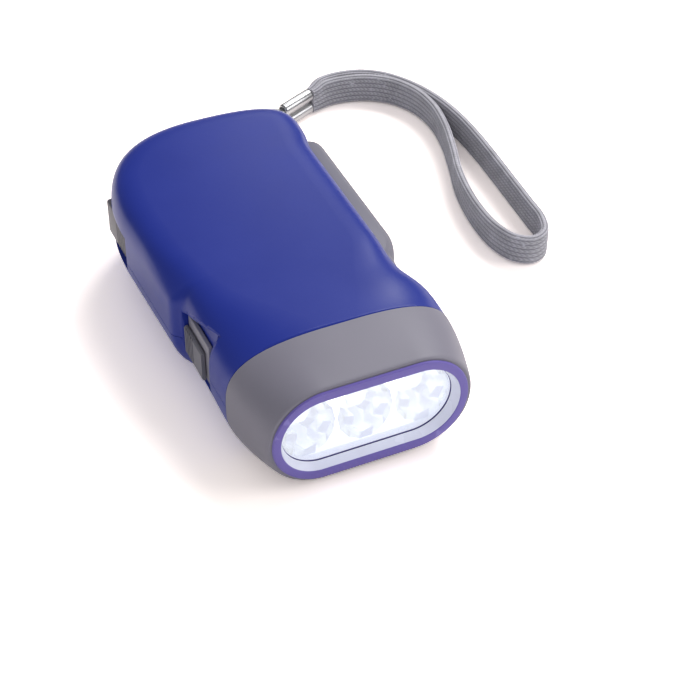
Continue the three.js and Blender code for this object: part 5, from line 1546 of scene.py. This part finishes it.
@dataclass
class Strap:
    """Grey knitted strap, its chrome crimp and the thin cord to the lug pin, in metres."""

    width: float = 0.0084
    thickness: float = 0.0021
    edge_round: float = 0.00065
    floor_gap: float = 0.0003
    face_points: int = 48
    edge_points: int = 20
    edge_cords: int = 3
    columns: int = 5
    stitch: float = 0.00115
    edge_stitch: float = 0.75
    rib_power: float = 0.7
    relief: float = 0.0003
    knit_share: float = 0.4
    pinch: float = 0.62
    pinch_length: float = 0.0024
    end_height: float = 0.86
    end_length: float = 0.005
    end_drop: float = 0.2
    rear_reach: float = 0.0829
    crimp_centre: tuple[float, float] = (0.0366, 0.0771)
    crimp_turn: float = math.radians(24)
    crimp_length: float = 0.0102
    crimp_thickness: float = 0.0047
    crimp_height: float = 0.0074
    crimp_z: float = 0.0042
    crimp_round: float = 0.00045
    crimp_lead: float = 0.0003
    crimp_back: float = 0.0007
    front_layer: float = 0.00148
    back_layer: float = 0.00014
    slot_height: float = 0.0005
    slot_depth: float = 0.0013
    back_round: float = 0.0011
    mouth_radius: float = 0.0013
    mouth_depth: float = 0.0024
    cord: float = 0.0012
    twist: float = 0.0024
    strand: float = 0.07
    gap: float = 0.0003
    light: float = 0.00015
    lead: float = 0.003
    swing: float = 1.15
    pin: tuple[float, float] = (0.0152, 0.0475)
    pin_radius: float = 0.0016
    pin_z: float = 0.0119
    route: tuple[tuple[float, float], ...] = (
        (0.047, 0.0796), (0.0525, 0.0794), (0.0584, 0.0775), (0.0639, 0.0731), (0.0676, 0.0663),
        (0.0688, 0.058), (0.0676, 0.0485), (0.0649, 0.0385), (0.0619, 0.029), (0.0602, 0.02),
        (0.0596, 0.0115), (0.0602, 0.0044), (0.0624, -0.001), (0.0662, -0.0034), (0.0699, -0.0018),
        (0.0719, 0.0032), (0.0723, 0.011), (0.0727, 0.021), (0.0731, 0.031), (0.0733, 0.041),
        (0.0729, 0.051), (0.0713, 0.0605), (0.068, 0.0694), (0.0631, 0.0766), (0.0576, 0.0805),
        (0.052, 0.0819), (0.0466, 0.0817),
    )

    @property
    def middle_z(self) -> float:
        """Middle height of the strap, which stands on its edge."""
        return self.width / 2 + self.floor_gap

    @property
    def cord_z(self) -> float:
        """Height at which the thin cord enters the crimp."""
        return self.crimp_z + self.crimp_height / 4

    @property
    def lobe(self) -> float:
        """Radius of a lobe of the crimp."""
        return (self.crimp_height - self.slot_height) / 4

    def place(self, along: float, across: float, z: float) -> np.ndarray:
        """Point in the crimp's own directions.

        Args:
            along: Distance along the crimp.
            across: Distance across it.
            z: Height.

        Returns:
            The point in the part's frame.
        """
        c, s = math.cos(self.crimp_turn), math.sin(self.crimp_turn)
        x, y = self.crimp_centre
        return np.array([x + along * c - across * s, y + along * s + across * c, z])

    def strap_path(self) -> np.ndarray:
        """Centreline of the strap: out of the crimp, round its loop and back in.

        Returns:
            Evenly spaced points.
        """
        out = self.crimp_length / 2 + self.gap
        knots = [self.place(out, -self.front_layer, self.middle_z)]
        knots += [np.array([x, y, self.middle_z]) for x, y in self.route]
        knots.append(self.place(out, -self.back_layer, self.middle_z))
        return even_path(centripetal(np.array(knots), 30), 0.0002)

    def strap(self) -> tuple[bpy.types.Object, np.ndarray]:
        """Knitted strap with lengthwise columns of stitches and braided edges.

        Returns:
            The strap and its centreline.
        """
        path = self.strap_path()
        across_base, up_base, across_way, up_way, rib, lag, pitch = self.section()
        run = np.concatenate([[0], np.cumsum(np.linalg.norm(np.diff(path, axis=0), axis=1))])
        total = run[-1]
        rings = []
        for place, (tangent, across), way in zip(path, frames(path), run):
            near = min(way, total - way)
            bulk = self.pinch + (1 - self.pinch) * smooth_share(near, 0, self.pinch_length)
            tall = self.end_height + (1 - self.end_height) * smooth_share(near, 0, self.end_length)
            knit = np.sin(math.pi * ((way / pitch + lag) % 1.0))
            depth = self.relief * rib * (1 - self.knit_share + self.knit_share * knit)
            side = across_base * bulk + across_way * depth
            ring = place + across * side[:, None]
            ring[:, 2] = (place[2] + up_base * tall + up_way * depth
                          - (1 - tall) * self.width * self.end_drop)
            ring[:, 1] = np.minimum(ring[:, 1], self.rear_reach)
            rings.append(ring / MM)
        obj = loft("knitted_strap", rings)
        shade(obj, 60)
        return obj, path

    def section(self) -> tuple[np.ndarray, ...]:
        """Closed section of the strap: two faces of knitted columns and two braided edges.

        Returns:
            Place across and up, the surface's direction across and up, the rib's height, the
            stitch's lag and the stitch's length, each for every point.
        """
        half_w, half_t = self.width / 2 - self.relief, self.thickness / 2 - self.relief
        flat = half_w - self.edge_round
        rows = []
        for face in (1, -1):
            for i in range(self.face_points):
                v = (i + 0.5) / self.face_points * 2 - 1
                column = (v + 1) / 2 * self.columns
                inner = column % 1.0
                lag = abs(inner - 0.5) * 1.5 + (column // 1) * 0.5
                rows.append((face * half_t, face * v * flat, face, 0,
                             math.sin(math.pi * inner) ** self.rib_power, lag, self.stitch))
            for i in range(self.edge_points):
                turn = (i + 0.5) / self.edge_points * math.pi
                inner = turn / math.pi * self.edge_cords % 1.0
                out = (face * math.cos(turn), face * math.sin(turn))
                centre = math.copysign(half_t - self.edge_round, out[0])
                rows.append((centre + self.edge_round * out[0], face * flat + self.edge_round * out[1],
                             *out, math.sin(math.pi * inner) ** self.rib_power, inner * 0.9,
                             self.stitch * self.edge_stitch))
        return tuple(np.array(column) for column in zip(*rows))

    def crimp(self) -> bpy.types.Object:
        """Chrome crimp: two rolled lobes with a slot between, rounded ends and an open mouth.

        Returns:
            The crimp.
        """
        half, height, lobe = self.crimp_thickness / 2, self.crimp_height / 2, self.lobe
        lobe_x, lobe_y = half - lobe, self.slot_height / 2 + lobe
        turn = math.acos(min(1, (self.slot_depth / 2) / lobe))
        section = [(half - self.slot_depth, -self.slot_height / 2)]
        for angle in np.linspace(turn, -math.pi / 2, 20):
            section.append((lobe_x + lobe * math.cos(angle), -lobe_y + lobe * math.sin(angle)))
        for angle in np.linspace(-math.pi / 2, -math.pi, 10):
            section.append((-self.crimp_back + self.back_round * (1 + math.cos(angle)),
                            -height + self.back_round * (1 + math.sin(angle))))
        for angle in np.linspace(math.pi, math.pi / 2, 10):
            section.append((-self.crimp_back + self.back_round * (1 + math.cos(angle)),
                            height + self.back_round * (math.sin(angle) - 1)))
        for angle in np.linspace(math.pi / 2, -turn, 20):
            section.append((lobe_x + lobe * math.cos(angle), lobe_y + lobe * math.sin(angle)))
        section.append((half - self.slot_depth, self.slot_height / 2))
        section = np.array(section)
        rings = []
        round_off = self.crimp_round
        steps = [(-1, t) for t in np.linspace(0, math.pi / 2, 6)]
        steps += [(1, t) for t in np.linspace(math.pi / 2, 0, 6)]
        for end, angle in steps:
            inset = round_off * (1 - math.sin(angle))
            along = end * (self.crimp_length / 2 - round_off * (1 - math.cos(angle)))
            along -= self.crimp_lead if end < 0 else 0
            shrink = np.array([1 - inset / half, 1 - inset / height])
            rings.append([self.place(along, -x, self.crimp_z + z) for x, z in section * shrink])
        obj = loft("crimp_shell", [np.array(r) / MM for r in rings])
        mouth_turns = np.linspace(0, 2 * math.pi, 32, endpoint=False)
        across, z = lobe - half, self.cord_z
        bore = []
        left = -self.crimp_length / 2 - self.crimp_lead
        for along in (left - self.mouth_depth, left + self.mouth_depth):
            bore.append(np.array([
                self.place(along, across + self.mouth_radius * math.cos(t),
                           z + self.mouth_radius * math.sin(t)) for t in mouth_turns]) / MM)
        combine(obj, loft("mouth", bore), "DIFFERENCE")
        tidy_mesh(obj)
        shade(obj, 35)
        return obj

    def cord_side(self, side: int) -> list[np.ndarray]:
        """One strand of the thin cord, from the crimp's mouth to the side of the lug pin.

        Args:
            side: 1 for the right strand, -1 for the left.

        Returns:
            Knots of the strand.
        """
        near = self.cord / 2 + self.light / 2
        far = self.pin_radius + self.cord / 2 + self.gap
        entry = self.mouth_depth - self.gap - self.crimp_length / 2 - self.crimp_lead
        across = (self.lobe - self.crimp_thickness / 2) - side * near
        start = self.place(entry, across, self.cord_z)
        lead = self.place(entry - self.mouth_depth - self.lead, across, self.cord_z + self.lead / 2)
        run = [start, self.place(entry - self.mouth_depth, across, self.cord_z), lead]
        for along, spread, rise in zip((0.3, 0.56, 0.8, 1), (0.3, 0.5, 0.75, 1), (0.45, 0.7, 0.85, 1)):
            x = lead[0] + (self.pin[0] - lead[0]) * min(1, along * self.swing)
            y = lead[1] + (self.pin[1] + self.lead - lead[1]) * along
            wide = near + (far - near) * spread
            run.append(np.array([x + side * wide, y, lead[2] + (self.pin_z - lead[2]) * rise]))
        return run

    def cord_path(self) -> np.ndarray:
        """Centreline of the thin cord, round the pin and back.

        Returns:
            Evenly spaced points.
        """
        radius = self.pin_radius + self.cord / 2 + self.gap
        turn = [np.array([self.pin[0] + radius * math.cos(-a), self.pin[1] + radius * math.sin(-a),
                          self.pin_z]) for a in np.linspace(0, math.pi, 7)]
        knots = self.cord_side(1) + turn + self.cord_side(-1)[::-1]
        return even_path(centripetal(np.array(knots), 16), 0.0003)

    def thin_cord(self) -> tuple[bpy.types.Object, np.ndarray]:
        """Twisted thin cord.

        Returns:
            The cord and its centreline.
        """
        path = self.cord_path()
        radius = self.cord / 2
        rings = []
        run = np.concatenate([[0], np.cumsum(np.linalg.norm(np.diff(path, axis=0), axis=1))])
        for place, (tangent, across), way in zip(path, frames(path), run):
            up = np.cross(tangent, across)
            twist = way / self.twist * 2 * math.pi
            ring = []
            for angle in np.linspace(0, 2 * math.pi, 18, endpoint=False):
                r = radius * (1 - self.strand + self.strand * math.cos(3 * (angle - twist)))
                ring.append(place + r * (math.cos(angle) * across + math.sin(angle) * up))
            rings.append(np.array(ring) / MM)
        obj = loft("twisted_cord", rings)
        shade(obj, 60)
        return obj, path

    def build(self, finishes: Finishes) -> None:
        """Args:
            finishes: The finishes of the torch.
        """
        strap, path = self.strap()
        dress(strap, finishes.strap, Body.HOUSING, ["wrist_strap"])
        crimp = dress(self.crimp(), finishes.chrome, Body.HOUSING, ["strap_crimp"])
        cord, cord_path = self.thin_cord()
        dress(cord, finishes.cord, Body.HOUSING, ["strap_loop_cord"])


def centripetal(knots: np.ndarray, steps: int) -> np.ndarray:
    """Smooth curve through the knots, with this many steps between each two.

    Args:
        knots: Points that the curve goes through.
        steps: Steps between two knots.

    Returns:
        Points of the curve.
    """
    first, last = 2 * knots[0] - knots[1], 2 * knots[-1] - knots[-2]
    p = np.vstack([first, knots, last])
    out = []
    for i in range(len(p) - 3):
        p0, p1, p2, p3 = p[i:i + 4]
        t1 = np.linalg.norm(p1 - p0) ** 0.5
        t2 = t1 + np.linalg.norm(p2 - p1) ** 0.5
        t3 = t2 + np.linalg.norm(p3 - p2) ** 0.5
        for share in np.arange(steps) / steps:
            t = t1 + (t2 - t1) * share
            a1 = (t1 - t) / t1 * p0 + t / t1 * p1
            a2 = (t2 - t) / (t2 - t1) * p1 + (t - t1) / (t2 - t1) * p2
            a3 = (t3 - t) / (t3 - t2) * p2 + (t - t2) / (t3 - t2) * p3
            b1 = (t2 - t) / t2 * a1 + t / t2 * a2
            b2 = (t3 - t) / (t3 - t1) * a2 + (t - t1) / (t3 - t1) * a3
            out.append((t2 - t) / (t2 - t1) * b1 + (t - t1) / (t2 - t1) * b2)
    out.append(p[-2])
    return np.array(out)


def even_path(points: np.ndarray, spacing: float) -> np.ndarray:
    """The same line with evenly spaced points.

    Args:
        points: Points of the line.
        spacing: Distance between two new points.

    Returns:
        The new points.
    """
    run = np.concatenate([[0], np.cumsum(np.linalg.norm(np.diff(points, axis=0), axis=1))])
    at = np.linspace(0, run[-1], int(run[-1] / spacing) + 1)
    return np.column_stack([np.interp(at, run, points[:, k]) for k in range(3)])


def frames(path: np.ndarray) -> list[tuple[np.ndarray, np.ndarray]]:
    """Tangent and level sideways direction at each point of a path.

    Args:
        path: Points of the path.

    Returns:
        The two directions at each point.
    """
    out = []
    for tangent in np.gradient(path, axis=0):
        tangent = tangent / np.linalg.norm(tangent)
        across = np.cross((0.0, 0.0, 1.0), tangent)
        out.append((tangent, across / np.linalg.norm(across)))
    return out


@dataclass
class SmallParts:
    """CAD nodes whose shape stays, with rounded edges and their finishes."""

    rounding: float = 0.14
    lock_face: float = -29.25
    lock_back: float = -27.5
    lock_front: float = 20.5
    lock_length: float = 16
    lock_low: float = 12.8
    lock_high: float = 21.8
    rib_pitch: float = 1.28
    rib_depth: float = 0.6
    rib_count: int = 7
    plate_low: float = 10.25
    plate_round: float = 0.25
    leaf_edge: tuple[tuple[float, float], ...] = ((0.0, 0.3), (0.1, 0.1), (0.35, 0.0))

    def build(self, finishes: Finishes) -> None:
        """Dresses every CAD node that keeps its own shape, and builds the switch plate.

        Args:
            finishes: The finishes of the torch.
        """
        plate = combine(copy_node("switch_plate", "switch_plate_moulding"),
                        block("limit", (-60, -60, self.plate_low), (60, 60, 40)), "INTERSECT")
        tidy_mesh(plate)
        soften(plate, self.plate_round, 3)
        bake_modifiers(plate)
        shade(plate, 30)
        dress(plate, finishes.plate, Body.SWITCH, ["switch_plate"])
        dress(self.lock(), finishes.warm, Body.LOCK, ["lock_slider"])
        plan = {
            finishes.dark: ("switch_knob",),
            finishes.black: ("lock_bar", "coil_bobbin", "switch_block"),
            finishes.white: ("first_gear", "second_gear", "flywheel"),
            finishes.steel: ("lever_spring", "first_axle", "second_axle", "rotor_axle", "gear_plate",
                             "stator_core", "cell_contact"),
            finishes.magnet: ("rotor_magnet", "choke"),
            finishes.copper: ("coil_winding",),
            finishes.board: ("circuit_board", "lamp_board"),
            finishes.wrap: ("cell_lower", "cell_middle", "cell_upper"),
            finishes.lamp: ("lamp_left", "lamp_middle", "lamp_right"),
        }
        for finish, nodes in plan.items():
            for node in nodes:
                self.dress_node(node, finish)
        soften(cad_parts["switch_knob"], self.rounding)

    def lock(self) -> bpy.types.Object:
        """Lock slider: a leaf with rounded upright ribs at its front, and the stem of its node.

        Returns:
            The slider.
        """
        along = [self.lock_front + t for t in np.linspace(0.3, 0.7, 3)]
        depth = [self.lock_face + d for d in (0.2, 0.06, 0.0)]
        foot = along[-1]
        for step in range(1, self.rib_count * 8 + 1):
            along.append(foot + step * self.rib_pitch / 8)
            wave = abs(math.cos(step / 8 * math.pi))
            depth.append(self.lock_face + self.rib_depth * (1 - wave ** 0.5))
        along += [self.lock_front + self.lock_length - t for t in (0.6, 0.25, 0.0)]
        depth += [self.lock_face, self.lock_face + 0.08, self.lock_face + 0.3]
        levels = [(self.lock_low + rise, inset) for rise, inset in self.leaf_edge]
        levels += [(self.lock_high - rise, inset) for rise, inset in reversed(self.leaf_edge)]
        rings = []
        for z, inset in levels:
            ring = [(self.lock_back, self.lock_front, z)]
            ring += [(x + inset, y, z) for x, y in zip(depth, along)]
            ring.append((self.lock_back, self.lock_front + self.lock_length, z))
            rings.append(np.array(ring))
        leaf = loft("lock_slider_moulding", rings)
        stem = combine(copy_node("lock_slider", "stem"),
                       block("limit", (self.lock_back - 0.1, -60, 0), (60, 60, 40)), "INTERSECT")
        combine(leaf, stem, "UNION")
        tidy_mesh(leaf)
        shade(leaf, 35)
        return leaf

    def dress_node(self, node: str, finish: bpy.types.Material) -> None:
        """Gives a CAD node its material.

        Args:
            node: Name of the node.
            finish: Its material.
        """
        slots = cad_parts[node].material_slots
        for slot in slots:
            slot.link = "OBJECT"
            slot.material = finish
        LOG.info("dressed %s", node)


@dataclass
class Studio:
    """Camera, floor, lamps and world."""

    view_width: int = 700
    focal_pixels: float = 1929.311
    eye: Point = (-127.119, -323.218, 302.148)
    shade_floor: tuple[float, ...] = (0.78, 0.775, 0.77, 1)
    seen_floor: tuple[float, ...] = (2.1, 1.94, 1.86, 1)
    mirrored_floor: float = 0.6
    daylight: float = 0.41
    mirrored_dimming: float = 0.22

    def camera(self) -> None:
        """Camera at the photograph's viewing angle."""
        right = Vector((0.91198097, -0.41023250, 0.0000289))
        down = Vector((-0.27306881, -0.60710716, -0.74622672))
        ahead = Vector((0.30614397, 0.68053669, -0.66569188))
        data = bpy.data.cameras.new("camera")
        data.sensor_width = 36
        data.lens = self.focal_pixels / self.view_width * data.sensor_width
        data.clip_start, data.clip_end = 0.02, 20
        camera = bpy.data.objects.new("camera", data)
        bpy.context.scene.collection.objects.link(camera)
        turn = Matrix((right, -down, -ahead)).transposed().to_4x4()
        camera.matrix_world = Matrix.Translation(Vector(self.eye) * MM) @ turn
        bpy.context.scene.camera = camera

    def floor(self) -> None:
        """Plain pale floor that shows white to the camera and keeps the shadow."""
        mesh = bpy.data.meshes.new("floor")
        mesh.from_pydata([(-3, -3, 0), (3, -3, 0), (3, 3, 0), (-3, 3, 0)], [], [(0, 1, 2, 3)])
        floor = bpy.data.objects.new("floor", mesh)
        bpy.context.scene.collection.objects.link(floor)
        material = bpy.data.materials.new("pale floor")
        material.use_nodes = True
        tree = material.node_tree
        shader = tree.nodes["Principled BSDF"]
        shader.inputs["Roughness"].default_value = 0.9
        shader.inputs["Specular IOR Level"].default_value = 0.0
        path = add_node(tree, "ShaderNodeLightPath")
        mix = add_node(tree, "ShaderNodeMix", data_type="RGBA")
        mix.inputs["A"].default_value = self.shade_floor
        mix.inputs["B"].default_value = self.seen_floor
        seen = add_node(tree, "ShaderNodeMath", operation="MULTIPLY_ADD", in_1=self.mirrored_floor)
        tree.links.new(path.outputs["Is Glossy Ray"], seen.inputs[0])
        tree.links.new(path.outputs["Is Camera Ray"], seen.inputs[2])
        tree.links.new(seen.outputs[0], mix.inputs["Factor"])
        tree.links.new(mix.outputs["Result"], shader.inputs["Base Color"])
        mesh.materials.append(material)

    def lamp(self, name: str, place: Point, aim: Point, size: float, watts: float,
             sheen: bool = False) -> None:
        """Adds a soft square lamp that points at a place, or one that only shows as a sheen.

        Args:
            name: Name of the lamp.
            place: Where it stands, in metres.
            aim: Where it points, in metres.
            size: Side of the lamp, in metres.
            watts: Its power.
            sheen: True for a lamp that only shows in reflections.
        """
        data = bpy.data.lights.new(name, "AREA")
        data.energy, data.size = watts, size
        lamp = bpy.data.objects.new(name, data)
        lamp.location = place
        lamp.rotation_euler = (Vector(aim) - Vector(place)).to_track_quat("-Z", "Y").to_euler()
        lamp.visible_diffuse, lamp.visible_camera = not sheen, False
        bpy.context.scene.collection.objects.link(lamp)

    def world(self) -> None:
        """White surroundings, calmer where they light the object or show in it."""
        world = bpy.data.worlds.new("surroundings")
        world.use_nodes = True
        tree = world.node_tree
        back = tree.nodes["Background"]
        path = add_node(tree, "ShaderNodeLightPath")
        seen = add_node(tree, "ShaderNodeMath", operation="MULTIPLY_ADD", in_1=1 - self.daylight,
                        in_2=self.daylight)
        tree.links.new(path.outputs["Is Camera Ray"], seen.inputs[0])
        level = add_node(tree, "ShaderNodeMath", operation="MULTIPLY_ADD", in_1=-self.mirrored_dimming)
        tree.links.new(path.outputs["Is Glossy Ray"], level.inputs[0])
        tree.links.new(seen.outputs[0], level.inputs[2])
        tree.links.new(level.outputs[0], back.inputs["Strength"])
        back.inputs["Color"].default_value = (1, 1, 1, 1)
        bpy.context.scene.world = world

    def build(self) -> None:
        """Builds the studio."""
        self.camera()
        self.floor()
        self.world()
        self.lamp("key", (0.55, 0.35, 0.75), (0, 0, 0), 0.5, 6.0)
        self.lamp("fill", (-0.5, -0.7, 0.6), (0, 0, 0), 0.8, 1.5)
        self.lamp("side", (0.8, -0.45, 0.45), (0, 0, 0), 0.5, 2.6)
        self.lamp("sheen", (0.12, 0.27, 0.17), (0.01, 0.04, 0.03), 0.08, 0.055, True)
        bpy.context.scene.view_settings.view_transform = "Standard"


def main() -> None:
    logging.basicConfig(level=logging.INFO, format="%(name)s: %(message)s")
    studio = Studio()
    studio.build()
    finishes = Finishes()
    form = BodyForm()
    Strap().build(finishes)
    Housing(form).build(finishes)
    Head(form).build(finishes)
    Lever(form).build(finishes)
    SmallParts().build(finishes)


if __name__ == "__main__":
    main()
